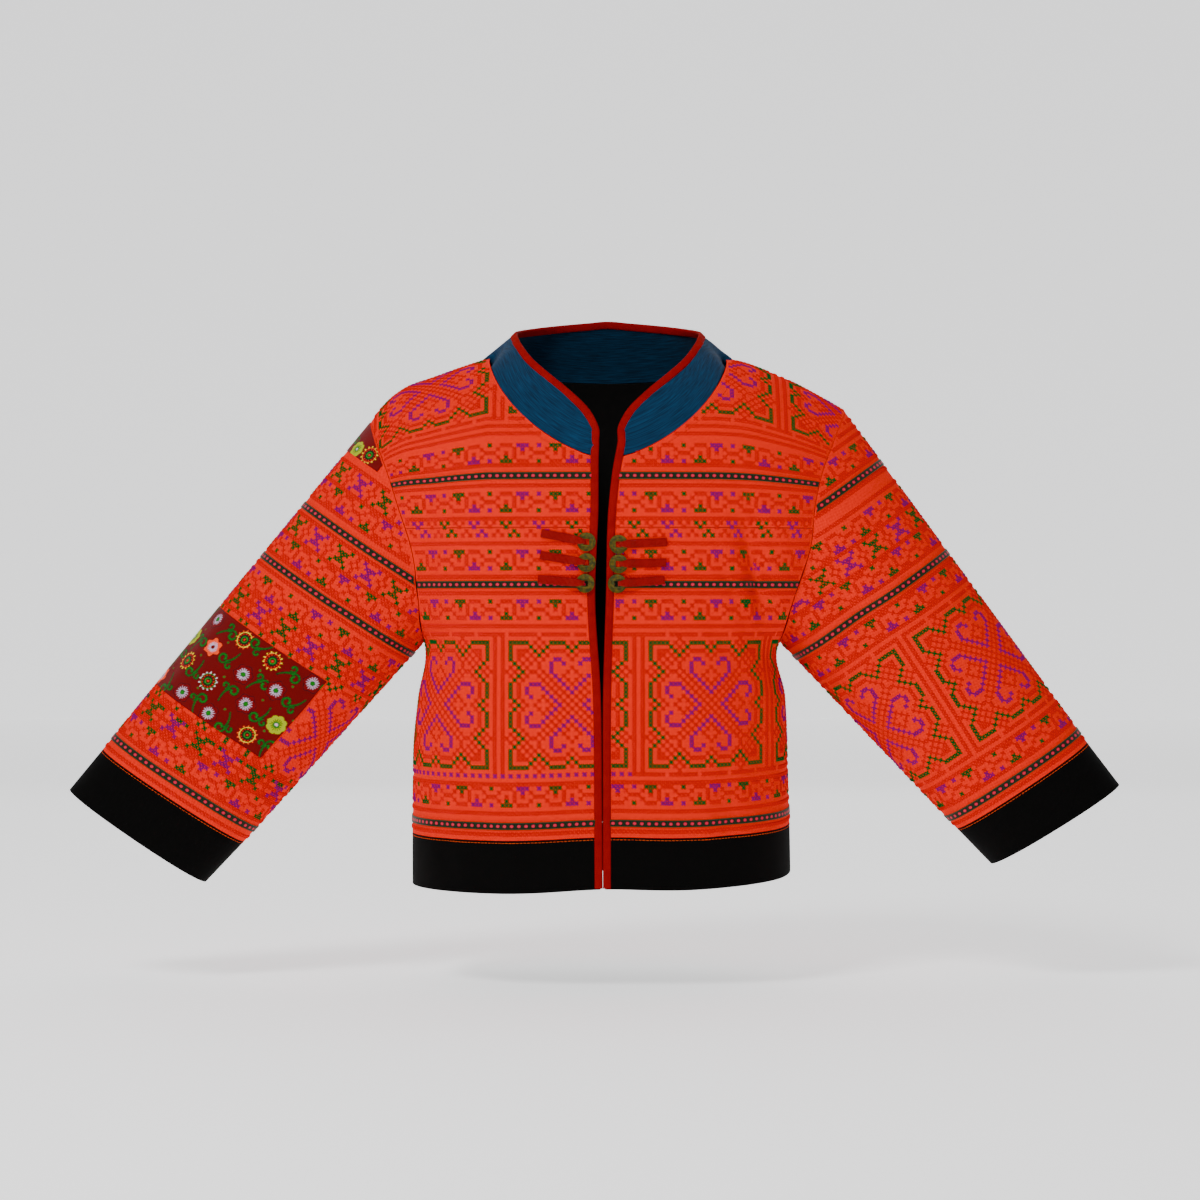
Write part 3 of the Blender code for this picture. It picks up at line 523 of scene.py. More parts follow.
@dataclass(frozen=True)
class Finish:
    """One real material: its colours, weave and how it takes the light."""

    name: str
    colour: str
    second: str
    weave: Weave
    pitch: float
    roughness: float = 0.85
    sheen: float = 0.15
    bump: float = 0.3

    def _math(self, tree: Tree, operation: str, *values) -> Socket:
        """One sum on values or sockets."""
        return add_node(tree, "ShaderNodeMath", dict(enumerate(values)), operation=operation).outputs[0]

    def _wave(self, tree: Tree, value: Socket, pitch: float) -> Socket:
        """Sine of a length in millimetres that repeats at a pitch."""
        return self._math(tree, "SINE", self._math(tree, "MULTIPLY", value, 2 * math.pi / pitch))

    def _noise(self, tree: Tree, vector: Socket, across: float, up: float,
               detail: float = 2.0) -> Socket:
        """Noise with its own grain across and up, in cycles a millimetre.

        Args:
            tree: the material's node tree.
            vector: place on the piece in millimetres.
            across: cycles a millimetre across.
            up: cycles a millimetre up.
            detail: detail of the noise.

        Returns:
            The noise.
        """
        scaled = add_node(tree, "ShaderNodeVectorMath", {0: vector, 1: (across, up, across)},
                          operation="MULTIPLY").outputs[0]
        inputs = {"Vector": scaled, "Scale": 1.0, "Detail": detail}
        return add_node(tree, "ShaderNodeTexNoise", inputs).outputs[0]

    def _mix(self, tree: Tree, share, first, second) -> Socket:
        """Colour between two others."""
        return add_node(tree, "ShaderNodeMix", {0: share, 6: first, 7: second}, data_type="RGBA").outputs[2]

    def _pattern(self, tree: Tree, vector: Socket) -> Tuple:
        """Share of the second colour and height of the weave, by the kind of weave.

        Args:
            tree: the material's node tree.
            vector: place on the piece in millimetres.

        Returns:
            Share of the second colour, and height.
        """
        parts = add_node(tree, "ShaderNodeSeparateXYZ", {0: vector}).outputs
        u, v = parts[0], parts[1]
        if self.weave is Weave.GROUND:
            weft, warp = self._wave(tree, u, self.pitch), self._wave(tree, v, self.pitch)
            height = self._math(tree, "MULTIPLY", weft, warp)
            grain = self._noise(tree, vector, 0.45, 0.45, 4.0)
            share = self._math(tree, "MULTIPLY_ADD", height, 0.5, self._math(tree, "SUBTRACT", grain, 0.12))
            return share, height
        if self.weave is Weave.TWILL:
            height = self._wave(tree, self._math(tree, "ADD", u, v), self.pitch)
            return self._noise(tree, vector, 0.08, 0.08), height
        if self.weave is Weave.SLUB:
            yarn = self._noise(tree, vector, 0.05, 1.1, 3.0)
            rib = self._wave(tree, v, self.pitch)
            height = self._math(tree, "ADD", rib, self._math(tree, "MULTIPLY", yarn, 3.0))
            return self._math(tree, "MULTIPLY_ADD", yarn, 3.6, -1.3), height
        weft, warp = self._wave(tree, u, self.pitch), self._wave(tree, v, self.pitch)
        return self._noise(tree, vector, 0.12, 0.12, 3.0), self._math(tree, "MULTIPLY", weft, warp)

    def _ribbon(self, tree: Tree, vector: Socket) -> Tuple:
        """Colour and height of the ribbon: oval pink beads on checked black, with olive edges.

        Args:
            tree: the material's node tree.
            vector: place on the piece in millimetres.

        Returns:
            Colour and height.
        """
        parts = add_node(tree, "ShaderNodeSeparateXYZ", {0: vector}).outputs
        beads = self._math(tree, "DIVIDE", parts[0], 7.0)
        along = self._math(tree, "SUBTRACT", self._math(tree, "FRACT", beads), 0.5)
        off = self._math(tree, "DIVIDE", parts[1], 7.0)
        squares = [self._math(tree, "POWER", self._math(tree, "DIVIDE", part, size), 2.0)
                   for part, size in ((along, 0.25), (off, 0.21))]
        bead = self._math(tree, "LESS_THAN", self._math(tree, "ADD", *squares), 1.0)
        fine, broad = self._wave(tree, parts[0], 1.75), self._wave(tree, parts[1], 3.5)
        check = self._math(tree, "MULTIPLY", fine, broad)
        green = self._math(tree, "GREATER_THAN", check, 0.1)
        edge = self._math(tree, "GREATER_THAN", self._math(tree, "ABSOLUTE", off), 0.4)
        ground = self._mix(tree, green, srgb("#0D0C0A"), srgb("#26331A"))
        beaded = self._mix(tree, bead, ground, srgb(self.colour))
        colour = self._mix(tree, edge, beaded, srgb(self.second))
        return colour, self._math(tree, "ADD", bead, edge)

    def material(self) -> bpy.types.Material:
        """Build the material.

        Returns:
            The finished material.
        """
        made = bpy.data.materials.new(self.name)
        made.use_nodes = True
        tree = made.node_tree
        shader = tree.nodes["Principled BSDF"]
        metal = self.weave is Weave.METAL
        place = "Object" if metal or self.weave is Weave.THREAD else "UV"
        source = add_node(tree, "ShaderNodeTexCoord").outputs[place]
        vector = add_node(tree, "ShaderNodeVectorMath", {0: source, 1: (1000.0,) * 3},
                          operation="MULTIPLY").outputs[0]
        if self.weave is Weave.RIBBON:
            colour, height = self._ribbon(tree, vector)
        elif metal:
            grime = self._noise(tree, vector, 0.35, 0.35, 5.0)
            share = add_node(tree, "ShaderNodeMapRange", {0: grime, 1: 0.38, 2: 0.62}).outputs[0]
            colour = self._mix(tree, share, srgb(self.colour), srgb(self.second))
            height = self._noise(tree, vector, 1.4, 1.4, 3.0)
        elif self.weave is Weave.THREAD:
            share = self._noise(tree, vector, 0.5, 0.5, 3.0)
            colour = self._mix(tree, share, srgb(self.colour), srgb(self.second))
            height = self._noise(tree, vector, 2.2, 2.2)
        else:
            share, height = self._pattern(tree, vector)
            if self.weave is Weave.PRINT:
                colour = add_node(tree, "ShaderNodeVertexColor", layer_name="print").outputs[0]
            else:
                colour = self._mix(tree, share, srgb(self.colour), srgb(self.second))
        bump = add_node(tree, "ShaderNodeBump", {"Height": height, "Strength": self.bump, "Distance": 0.0004})
        tree.links.new(colour, shader.inputs["Base Color"])
        tree.links.new(bump.outputs[0], shader.inputs["Normal"])
        shader.inputs["Roughness"].default_value = self.roughness
        shader.inputs["Sheen Weight"].default_value = self.sheen
        shader.inputs["Sheen Roughness"].default_value = 0.5
        shader.inputs["Metallic"].default_value = 0.85 if metal else 0.0
        shader.inputs["Specular IOR Level"].default_value = 0.5 if metal else 0.08
        return made


# Vermilion cotton, close with tiny stitches, which gives the jacket its burning orange
GROUND = Finish("vermilion_cotton_ground", "#FF2400", "#CC0C00", Weave.GROUND, 2.0, 0.95, 0.0, 0.5)
# Bright red stranded cotton, the network of lines
RED = Finish("red_cotton_thread", "#DC0000", "#B40000", Weave.THREAD, 1.0, 0.75, 0.0, 0.2)
# Leaf green stranded cotton, the medallion outlines and half the triangles
GREEN = Finish("green_cotton_thread", "#005618", "#003E10", Weave.THREAD, 1.0, 0.75, 0.0, 0.2)
# Magenta purple stranded cotton, the hooks and the other triangles
PURPLE = Finish("purple_cotton_thread", "#8A0070", "#6C0054", Weave.THREAD, 1.0, 0.75, 0.0, 0.2)
# Bright orange thread of the small ticks, crosses and topstitching
ORANGE = Finish("orange_cotton_thread", "#FF5A00", "#F04400", Weave.THREAD, 1.0, 0.8, 0.0, 0.2)
# Black cotton twill of the hem and cuff bands, a deep matt edge; its rib is coarser than
# life so that it shows
TWILL = Finish("black_cotton_twill", "#030303", "#050403", Weave.TWILL, 1.6, 0.95, 0.0, 0.35)
# Black cotton of the inside, which keeps the hollow neck dark
LINING = Finish("black_cotton_lining", "#0B0A0A", "#141210", Weave.PLAIN, 1.2, 0.95, 0.05, 0.2)
# Indigo-dyed cotton with slubs, the blue stand collar
INDIGO = Finish("indigo_slub_cotton", "#093A5C", "#05223A", Weave.SLUB, 1.1, 0.85, 0.05, 0.5)
# The same indigo on the inner face, made darker as painted shade inside the collar
INDIGO_SHADED = Finish("indigo_inner_cotton", "#052C46", "#031A2C", Weave.SLUB, 1.1, 0.9, 0.05, 0.3)
# Plain scarlet cotton folded over the edges
BINDING = Finish("scarlet_cotton_binding", "#980000", "#7C0000", Weave.PLAIN, 0.9, 0.9, 0.0, 0.25)
# Maroon cotton of the fastening straps
STRAP = Finish("maroon_cotton_strap", "#900305", "#7A0204", Weave.PLAIN, 0.9, 0.85, 0.12, 0.3)
# Trim ribbon with a row of pink beads, a dotted line between the bands
RIBBON = Finish("beaded_trim_ribbon", "#D00038", "#3A3A1A", Weave.RIBBON, 7.0, 0.7, 0.1, 0.4)
# Printed cotton of the floral patches, maroon between bright flowers
PRINT = Finish("printed_floral_cotton", "#7E0306", "#7E0306", Weave.PRINT, 1.0, 0.85, 0.08, 0.25)
# Aged brass with a grey-green bloom, dull coins against the scarlet
BRASS = Finish("aged_brass", "#665618", "#3A3E20", Weave.METAL, 1.0, 0.42, 0.0, 0.25)


# ---------------------------------------------------------------- meshes
def unit(vectors: Array) -> Array:
    """Vectors brought to length one along their last axis."""
    return vectors / np.linalg.norm(vectors, axis=-1, keepdims=True)


def run_along(path: Array) -> Array:
    """Length of the path from its first point to each point."""
    return np.concatenate(((0.0,), np.cumsum(np.linalg.norm(np.diff(path, axis=0), axis=1))))


def build_mesh(name: str, points: Array, faces: Sequence[Sequence[int]], finishes: Sequence[Finish],
               uv: Optional[Array] = None, kinds: Optional[Sequence[int]] = None,
               colours: Optional[Array] = None, smooth: float = 40.0) -> Obj:
    """Write a mesh object and give it its finishes.

    Args:
        name: name of the piece.
        points: points in millimetres.
        faces: point numbers of each face.
        finishes: its finishes.
        uv: U and V of each face corner, in millimetres.
        kinds: the finish number of each face.
        colours: printed colour of each point.
        smooth: edges sharper than this many degrees stay sharp.

    Returns:
        The new object.
    """
    mesh = bpy.data.meshes.new(name)
    mesh.from_pydata((np.asarray(points) * MM).tolist(), [], faces)
    for finish in finishes:
        mesh.materials.append(bpy.data.materials.get(finish.name) or finish.material())
    if uv is not None:
        mesh.uv_layers.new(name="cloth").data.foreach_set("uv", (np.asarray(uv) * MM).ravel())
    if kinds is not None:
        mesh.polygons.foreach_set("material_index", np.asarray(kinds, dtype=np.int32))
    if colours is not None:
        layer = mesh.color_attributes.new("print", "FLOAT_COLOR", "POINT")
        layer.data.foreach_set("color", np.asarray(colours, dtype=np.float32).ravel())
    mesh.polygons.foreach_set("use_smooth", np.full(len(mesh.polygons), smooth > 0))
    if smooth > 0:
        mesh.set_sharp_from_angle(angle=math.radians(smooth))
    mesh.update()
    obj = bpy.data.objects.new(name, mesh)
    bpy.context.scene.collection.objects.link(obj)
    return obj


def shell(name: str, outer: Array, inner: Array, uv: Array, finishes: Sequence[Finish], closed: bool = False,
          colours: Optional[Array] = None) -> Obj:
    """Closed thin piece between an outer and an inner grid of points.

    Args:
        name: name of the piece.
        outer: outer points, whose columns crossed with rows face outward.
        inner: inner points.
        uv: U and V of the grid, with one more column where the grid is closed.
        finishes: finish of the outside and edges, then of the inside.
        closed: whether the last column meets the first.
        colours: printed colour of the outer points.

    Returns:
        The new object.
    """
    rows, columns = outer.shape[:2]
    spans = columns if closed else columns - 1
    i, j = np.meshgrid(np.arange(rows - 1), np.arange(spans), indexing="ij")
    i, j = i.ravel(), j.ravel()
    k = (j + 1) % columns
    count = rows * columns
    corners = ((i, j, j), (i, k, j + 1), (i + 1, k, j + 1), (i + 1, j, j))
    over = np.stack([a * columns + b for a, b, _ in corners], axis=1)
    over_uv = np.stack([uv[a, c] for a, _, c in corners], axis=1)
    parts, maps = [over, over[:, ::-1] + count], [over_uv, over_uv[:, ::-1]]
    j = np.arange(spans)
    k = (j + 1) % columns
    for row, flip in ((0, True), (rows - 1, False)):
        a, b = row * columns + j, row * columns + k
        strip = np.stack((a, b, b + count, a + count), axis=1)
        strip_uv = uv[row][np.stack((j, j + 1, j + 1, j), axis=1)]
        parts.append(strip[:, ::-1] if flip else strip)
        maps.append(strip_uv[:, ::-1] if flip else strip_uv)
    if not closed:
        i = np.arange(rows - 1)
        for column, flip in ((0, False), (columns - 1, True)):
            a, b = i * columns + column, (i + 1) * columns + column
            strip = np.stack((a, b, b + count, a + count), axis=1)
            strip_uv = uv[:, column][np.stack((i, i + 1, i + 1, i), axis=1)]
            parts.append(strip[:, ::-1] if flip else strip)
            maps.append(strip_uv[:, ::-1] if flip else strip_uv)
    faces = np.concatenate(parts)
    # edge faces wind the other way round from the outer sheet's own border
    faces[2 * len(over):] = faces[2 * len(over):, ::-1]
    corner_uv = np.concatenate(maps)
    corner_uv[2 * len(over):] = corner_uv[2 * len(over):, ::-1]
    kinds = np.zeros(len(faces), dtype=int)
    kinds[len(over):2 * len(over)] = len(finishes) - 1
    points = np.concatenate((outer.reshape(-1, 3), inner.reshape(-1, 3)))
    if colours is not None:
        colours = np.concatenate((colours.reshape(-1, 4),) * 2)
    return build_mesh(name, points, faces.tolist(), finishes, corner_uv.reshape(-1, 2), kinds, colours)


def declare(obj: Obj, nodes: Sequence[str] = ()) -> Obj:
    """Let a piece ride on the jacket and hide the solids it stands for.

    Args:
        obj: the piece.
        nodes: the CAD nodes it replaces.

    Returns:
        The same piece.
    """
    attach(obj, "root")
    if nodes:
        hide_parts(*nodes)
    LOG.info("%s: %d faces", obj.name, len(obj.data.polygons))
    return obj


def cloth_piece(obj: Obj) -> None:
    """Read a sheet of cloth's layout and face areas, the size of its cut; nothing is done with them.

    Args:
        obj: the piece, whose layout is its cut.
    """
    mesh = obj.data
    layer = np.empty(len(mesh.loops) * 2)
    mesh.uv_layers[0].data.foreach_get("uv", layer)
    areas = np.empty(len(mesh.polygons))
    mesh.polygons.foreach_get("area", areas)


# ---------------------------------------------------------------- cloth laid out on the form
class BodyCloth:
    """Cloth of one face of the body, with where its edges run."""

    def __init__(self, form: BodyForm, face: Face) -> None:
        """Lay the face out.

        Args:
            form: the body's surface.
            face: front or back.
        """
        self.form, self.face = form, face
        sizes = form.sizes
        levels = np.linspace(sizes.hem_z, sizes.neck_z, 900)
        paths = [form.point(face, levels, np.full(900, x)) for x in (-100.0, 100.0)]
        steps = np.mean([np.linalg.norm(np.diff(path, axis=0), axis=1) for path in paths], axis=0)
        heights = np.concatenate(((0.0,), np.cumsum(steps)))
        heights -= np.interp(sizes.hem_seam_z, levels, heights)
        self._levels, self._heights = levels, heights
        self.bottom, self.top = float(heights[0]), float(heights[-1])
        count = int((self.top - self.bottom) / 2) + 1
        self.v = np.linspace(self.bottom, self.top, count)
        self.level = np.interp(self.v, heights, levels)
        turn = np.linspace(-math.pi / 2, math.pi / 2, 361)
        if face is Face.BACK:
            turn = turn[::-1]
        level = self.level[:, None]
        sign = np.where(turn < 0, -1.0, 1.0)[None, :]
        x = sign * form.half(sign, level) * np.abs(np.sin(turn))[None, :] ** sizes.section_power
        points = form.point(face, level, x)
        self.map = ClothMap(points, self.v, np.zeros(x.shape), np.full(count, 180.0))
        self._x = x
        self.arm = {side: self._u_of([form.arm_x(face, side, at) for at in self.level]) for side in Side}
        self.inner = {side: self._u_of([form.inner_x(side, at) for at in self.level]) for side in Side}

    def _u_of(self, xs: Sequence[float]) -> Array:
        """U of one X on each row.

        Args:
            xs: the X of each row.

        Returns:
            U on each row.
        """
        flip = -1 if self.face is Face.BACK else 1
        rows = zip(xs, self._x, self.map.run)
        return np.array([np.interp(x, row[::flip], run[::flip]) for x, row, run in rows])

    def height(self, level: float) -> float:
        """V of a row level."""
        return float(np.interp(level, self._levels, self._heights))

    def span(self, side: Optional[Side], v: Array) -> Tuple[Array, Array]:
        """Lowest and highest U of a panel.

        Args:
            side: the front's side, or nothing for the whole back.
            v: the rows.

        Returns:
            U at both edges, in rising order.
        """
        if side is None:
            edges = [np.interp(v, self.v, self.arm[one]) for one in Side]
        else:
            edges = [np.interp(v, self.v, edge[side]) for edge in (self.arm, self.inner)]
        return np.minimum(*edges), np.maximum(*edges)

    def neck_corners(self, v: Array) -> Tuple[Array, Array]:
        """U of the two neck points on each row, in rising order.

        Args:
            v: V of the points.

        Returns:
            U of both.
        """
        sizes = self.form.sizes
        ends = [self._u_of([sizes.neck_x + sign * sizes.neck_half] * len(self.v)) for sign in (1, -1)]
        return np.interp(v, self.v, ends[0]), np.interp(v, self.v, ends[1])


@dataclass(frozen=True)
class SleeveSizes:
    """Crossing rings of a sleeve: its hem seam and the edge of the black band, outer then inner point."""

    side: Side
    seam_out: Pair
    seam_in: Pair
    edge_out: Pair
    edge_in: Pair
    ribbons: Triple
    folds: Tuple[Fold, ...]
    forward: float = -16.0
    depth: float = 44.0
    power: float = 0.9
    bulge: float = 5.0


# Folds of the sleeves by turn in degrees and height above the cuff seam
SLEEVE_SIZES = {
    Side.RIGHT: SleeveSizes(
        Side.RIGHT, (-496.0, -390.0), (-356.0, -482.0), (-529.0, -430.0), (-394.0, -522.0),
        (17.0, 250.0, 314.0),
        (Fold((150.0, 300.0), (112.0, 150.0), 13.0, 3.2), Fold((128.0, 330.0), (86.0, 235.0), 10.0, 2.6),
         Fold((60.0, 330.0), (48.0, 120.0), 12.0, 2.0), Fold((98.0, 160.0), (72.0, 20.0), 12.0, -2.2),
         Fold((150.0, 160.0), (132.0, 10.0), 12.0, 2.2), Fold((-60.0, 320.0), (-70.0, 60.0), 14.0, 3.0),
         Fold((-130.0, 280.0), (-110.0, 60.0), 14.0, 3.0), Fold((20.0, 200.0), (24.0, 10.0), 10.0, 1.6))),
    Side.LEFT: SleeveSizes(
        Side.LEFT, (482.0, -383.0), (353.0, -469.0), (514.0, -425.0), (387.0, -504.0), (14.0, 234.0, 345.0),
        (Fold((150.0, 290.0), (118.0, 120.0), 12.0, 3.4), Fold((120.0, 320.0), (92.0, 210.0), 9.0, 2.8),
         Fold((64.0, 350.0), (56.0, 200.0), 11.0, 2.0), Fold((96.0, 190.0), (78.0, 30.0), 12.0, -2.2),
         Fold((140.0, 150.0), (130.0, 10.0), 12.0, 2.0), Fold((-60.0, 320.0), (-70.0, 60.0), 14.0, 3.0),
         Fold((-130.0, 280.0), (-110.0, 60.0), 14.0, 3.0), Fold((26.0, 260.0), (30.0, 60.0), 10.0, 1.6))),
}


class SleeveCloth:
    """Cloth of one sleeve from its black band to the armhole."""

    def __init__(self, form: BodyForm, sizes: SleeveSizes) -> None:
        """Lay the sleeve out.

        Args:
            form: the body's surface, for the armhole.
            sizes: the sleeve's sizes.
        """
        self.form, self.sizes = form, sizes
        levels = np.linspace(form.sizes.armpit_z, form.sizes.neck_z, 90)
        loops = []
        for face in Face:
            xs = np.array([form.arm_x(face, sizes.side, at) for at in levels])
            loops.append(form.point(face, levels, xs))
        # the front of the armhole runs from the top (0 degrees) to the armpit (180), the back returns
        front, back = loops[0][::-1], loops[1][::-1]
        high, low = front[0, 2], front[-1, 2]
        self.turn = np.linspace(-180.0, 180.0, 241)
        at = (1 - np.cos(np.radians(np.abs(self.turn)))) / 2
        self.arm = np.empty((len(self.turn), 3))
        for axis in range(3):
            sides = [np.interp(at, (high - line[:, 2]) / (high - low), line[:, axis])
                     for line in (front, back)]
            self.arm[:, axis] = np.where(self.turn >= 0, *sides)
        self.foot = self.ring(sizes.seam_out, sizes.seam_in)
        self.edge = self.ring(sizes.edge_out, sizes.edge_in)
        self.length = np.linalg.norm(self.arm - self.foot, axis=1)
        self.drop = np.linalg.norm(self.edge - self.foot, axis=1)
        self.v = np.arange(-60.0, self.length.max() + 4.0, 2.0)
        rows = np.stack([self.row(v) for v in self.v])
        left = np.broadcast_to(self.length[None, :] - self.v[:, None], rows.shape[:2])
        if sizes.side is Side.LEFT:
            rows, left = rows[:, ::-1], left[:, ::-1]
        self.map = ClothMap(rows, self.v, left, np.full(len(self.v), 120.0))

    def ring(self, out: Pair, inner: Pair) -> Array:
        """Ring round the arm at every turn, between an outer and an inner point.

        Args:
            out: outer end in X and Z.
            inner: inner end in X and Z.

        Returns:
            Points round the sleeve.
        """
        sizes = self.sizes
        cosine, sine = np.cos(np.radians(self.turn)), np.sin(np.radians(self.turn))
        across = np.sign(cosine) * np.abs(cosine) ** sizes.power
        deep = np.sign(sine) * np.abs(sine) ** sizes.power
        x = (out[0] + inner[0]) / 2 + (out[0] - inner[0]) / 2 * across
        z = (out[1] + inner[1]) / 2 + (out[1] - inner[1]) / 2 * across
        return np.stack((x, sizes.forward - sizes.depth * deep, z), axis=1)

    def row(self, v: float) -> Array:
        """Points round the arm at a height above the cuff seam, below it on the black band.

        Args:
            v: V of the points.

        Returns:
            Points of the row.
        """
        if v < 0:
            return self.foot + (self.edge - self.foot) * (-v / self.drop)[:, None]
        share = v / self.length
        points = self.foot + (self.arm - self.foot) * share[:, None]
        swell = np.sin(math.pi * np.clip(share, 0.0, 1.0)) * self.sizes.bulge
        points[:, 1] -= swell * np.sin(np.radians(self.turn))
        middle = points.mean(axis=0)
        away = points - middle
        away = unit(away)
        press = sum(fold.press(self.turn, np.full(len(self.turn), v)) for fold in self.sizes.folds)
        return points - away * press[:, None]

    def u_at(self, turn: float, v: Array) -> Array:
        """U of a turn on rows of the sleeve.

        Args:
            turn: turn round the arm in degrees.
            v: V of the points.

        Returns:
            U on each row.
        """
        index = (180.0 - turn if self.sizes.side is Side.LEFT else 180.0 + turn) / 1.5
        runs = np.array([np.interp(index, np.arange(len(self.turn)), run) for run in self.map.run])
        return np.interp(v, self.v, runs)


# ---------------------------------------------------------------- embroidery charts
def eightfold(cells: Sequence[Tuple[int, int]]) -> set:
    """All turns and mirrors of some cells about the middle.

    Args:
        cells: cells as steps across and up from the middle.

    Returns:
        The cells.
    """
    made = set()
    for a, b in cells:
        made |= {(s * a, t * b) for s in (-1, 1) for t in (-1, 1)}
        made |= {(s * b, t * a) for s in (-1, 1) for t in (-1, 1)}
    return made


class Chart:
    """Counted chart of cross stitches, by cell column and cell row."""

    def __init__(self) -> None:
        """Start with an empty chart."""
        self.cells: Dict[Tuple[int, int], int] = {}

    def put(self, column: int, row: int, code: int) -> None:
        """Set one cell."""
        self.cells[(column, row)] = code

    def line(self, row: int, columns: range, ticks: Optional[int] = None) -> None:
        """Red line along a row, with an orange stitch at every so many columns.

        Args:
            row: the row.
            columns: the columns covered.
            ticks: column step of the gaps, or nothing.
        """
        for column in columns:
            if not ticks or column % ticks:
                self.put(column, row, Thread.RED.value)

    def band(self, row: int, columns: range) -> None:
        """Band of triangles either side of a red wave, five rows high and 24 columns round.

        Args:
            row: the lowest row.
            columns: the columns it covers.
        """
        red, green, purple = (thread.value for thread in Thread)
        motif: Dict[Tuple[int, int], int] = {}
        for colour, cells in (
            (green, [(-1, 0), (0, 0), (1, 0), (0, 1), (8, 0), (11, 4), (12, 4), (13, 4), (12, 3), (20, 4)]),
            (purple, [(15, 0), (16, 0), (17, 0), (16, 1), (20, 0), (3, 4), (4, 4), (5, 4), (4, 3), (8, 4)]),
            (red, [(-1, 4), (0, 4), (1, 4), (15, 4), (16, 4), (17, 4), (3, 0), (4, 0), (5, 0),
                   (11, 0), (12, 0), (13, 0), (2, 1), (2, 2), (2, 3), (14, 1), (14, 2), (14, 3),
                   (6, 1), (7, 2), (8, 2), (9, 2),
                   (10, 1), (18, 3), (19, 2), (20, 2), (21, 2), (22, 3), (4, 2), (12, 2), (0, 2), (16, 2),
                   (6, 3), (10, 3), (18, 1), (22, 1)]),
        ):
            motif.update({(a % 24, b): colour for a, b in cells})
        for column in columns:
            for up in range(5):
                if (column % 24, up) in motif:
                    self.put(column, row + up, motif[(column % 24, up)])

    def stars(self, row: int, columns: range) -> None:
        """Band of green and purple stars with red crosses between, five rows high.

        Args:
            row: the lowest row.
            columns: the columns it covers.
        """
        star = {(0, 2), (-1, 1), (1, 1), (-1, 3), (1, 3), (-2, 0), (2, 0), (-2, 4), (2, 4), (0, 1), (0, 3)}
        cross = {(3, 2), (5, 2), (4, 1), (4, 3), (4, 0), (4, 4)}
        for column in columns:
            at = (column + 2) % 8 - 2
            colour = Thread.GREEN if ((column + 2) // 8) % 2 else Thread.PURPLE
            for up in range(5):
                if (at, up) in star:
                    self.put(column, row + up, colour.value)
                elif (at, up) in cross:
                    self.put(column, row + up, Thread.RED.value)

    def half_stars(self, row: int, columns: range) -> None:
        """Two rows of points below a seam and two above it, as a star band cut and joined again.

        Args:
            row: the lowest of the four rows.
            columns: the columns it covers.
        """
        cycle = (Thread.PURPLE, Thread.RED, Thread.GREEN, Thread.RED)
        for column in columns:
            for shift, narrow, wide in ((0, row + 2, row + 3), (2, row + 1, row)):
                at = (column - shift + 1) % 4 - 1
                colour = cycle[((column - shift + 1) // 4) % 4].value
                if at == 0:
                    self.put(column, narrow, colour)
                elif at in (-1, 1):
                    self.put(column, wide, colour)

    def medallion(self, centre: int, row: int) -> None:
        """Lobed green outline with purple hearts and a red lattice, 39 cells across its frame.

        Args:
            centre: its middle column.
            row: its middle row.
        """
        red, green, purple = (thread.value for thread in Thread)
        outline = [(0, 13), (1, 14), (6, 14), (7, 13), (8, 12), (9, 13), (10, 14)]
        outline += [(a, 15) for a in (2, 3, 4, 5, 11, 12, 13, 14, 15)]
        hooks = [(0, 3), (1, 4), (2, 5), (3, 6), (4, 7), (5, 8), (5, 9), (5, 10), (4, 11), (3, 11), (2, 10)]
        inner = {3: 0, 4: 1, 5: 2, 6: 3, 7: 4, 8: 5, 9: 5, 10: 5}
        lattice = [(a, b) for b in range(0, 10) for a in range(0, b + 1)
                   if (a + b) % 2 and a > inner.get(b, -1) + (1 if b > 2 else 0)]
        lobe = [(a, b) for a in range(9, 13) for b in range(9, 13) if abs(a - 11) + abs(b - 11) in (0, 2)]
        plus = [(0, 5), (1, 6), (2, 7), (1, 8), (0, 9)]
        rim = [(0, 11), (1, 12), (2, 13), (3, 13), (4, 13), (5, 13), (6, 12), (7, 11), (8, 10),
               (9, 11), (10, 12), (11, 13), (12, 13), (13, 13), (0, 15), (7, 15), (8, 14), (9, 15), (8, 16)]
        for code, cells in ((red, lattice + lobe + plus + rim), (purple, hooks), (green, outline)):
            for a, b in eightfold(cells):
                self.put(centre + a, row + b, code)

    def block(self, row: int, first: int, columns: range, dotted: Optional[range] = None) -> None:
        """Frame lines and a run of medallions between them, 36 columns apart.

        Args:
            row: the middle row of the medallions.
            first: the middle column of one of them.
            columns: the columns covered.
            dotted: columns with a row of single purple stitches below the medallions.
        """
        period = 36
        step = (columns.start - first) // period
        while first + step * period - 20 < columns.stop:
            middle = first + step * period
            self.medallion(middle, row)
            for up in range(-17, 18):
                for edge in (-17, 17):
                    self.put(middle + edge, row + up, Thread.RED.value)
            step += 1
        for up in (-19, 19):
            self.line(row + up, columns)
        for up in (-17, 17):
            self.line(row + up, columns, ticks=8)
        for column in dotted or ():
            self.cells.pop((column, row - 17), None)
            if column % 2:
                self.put(column, row - 17, Thread.PURPLE.value)


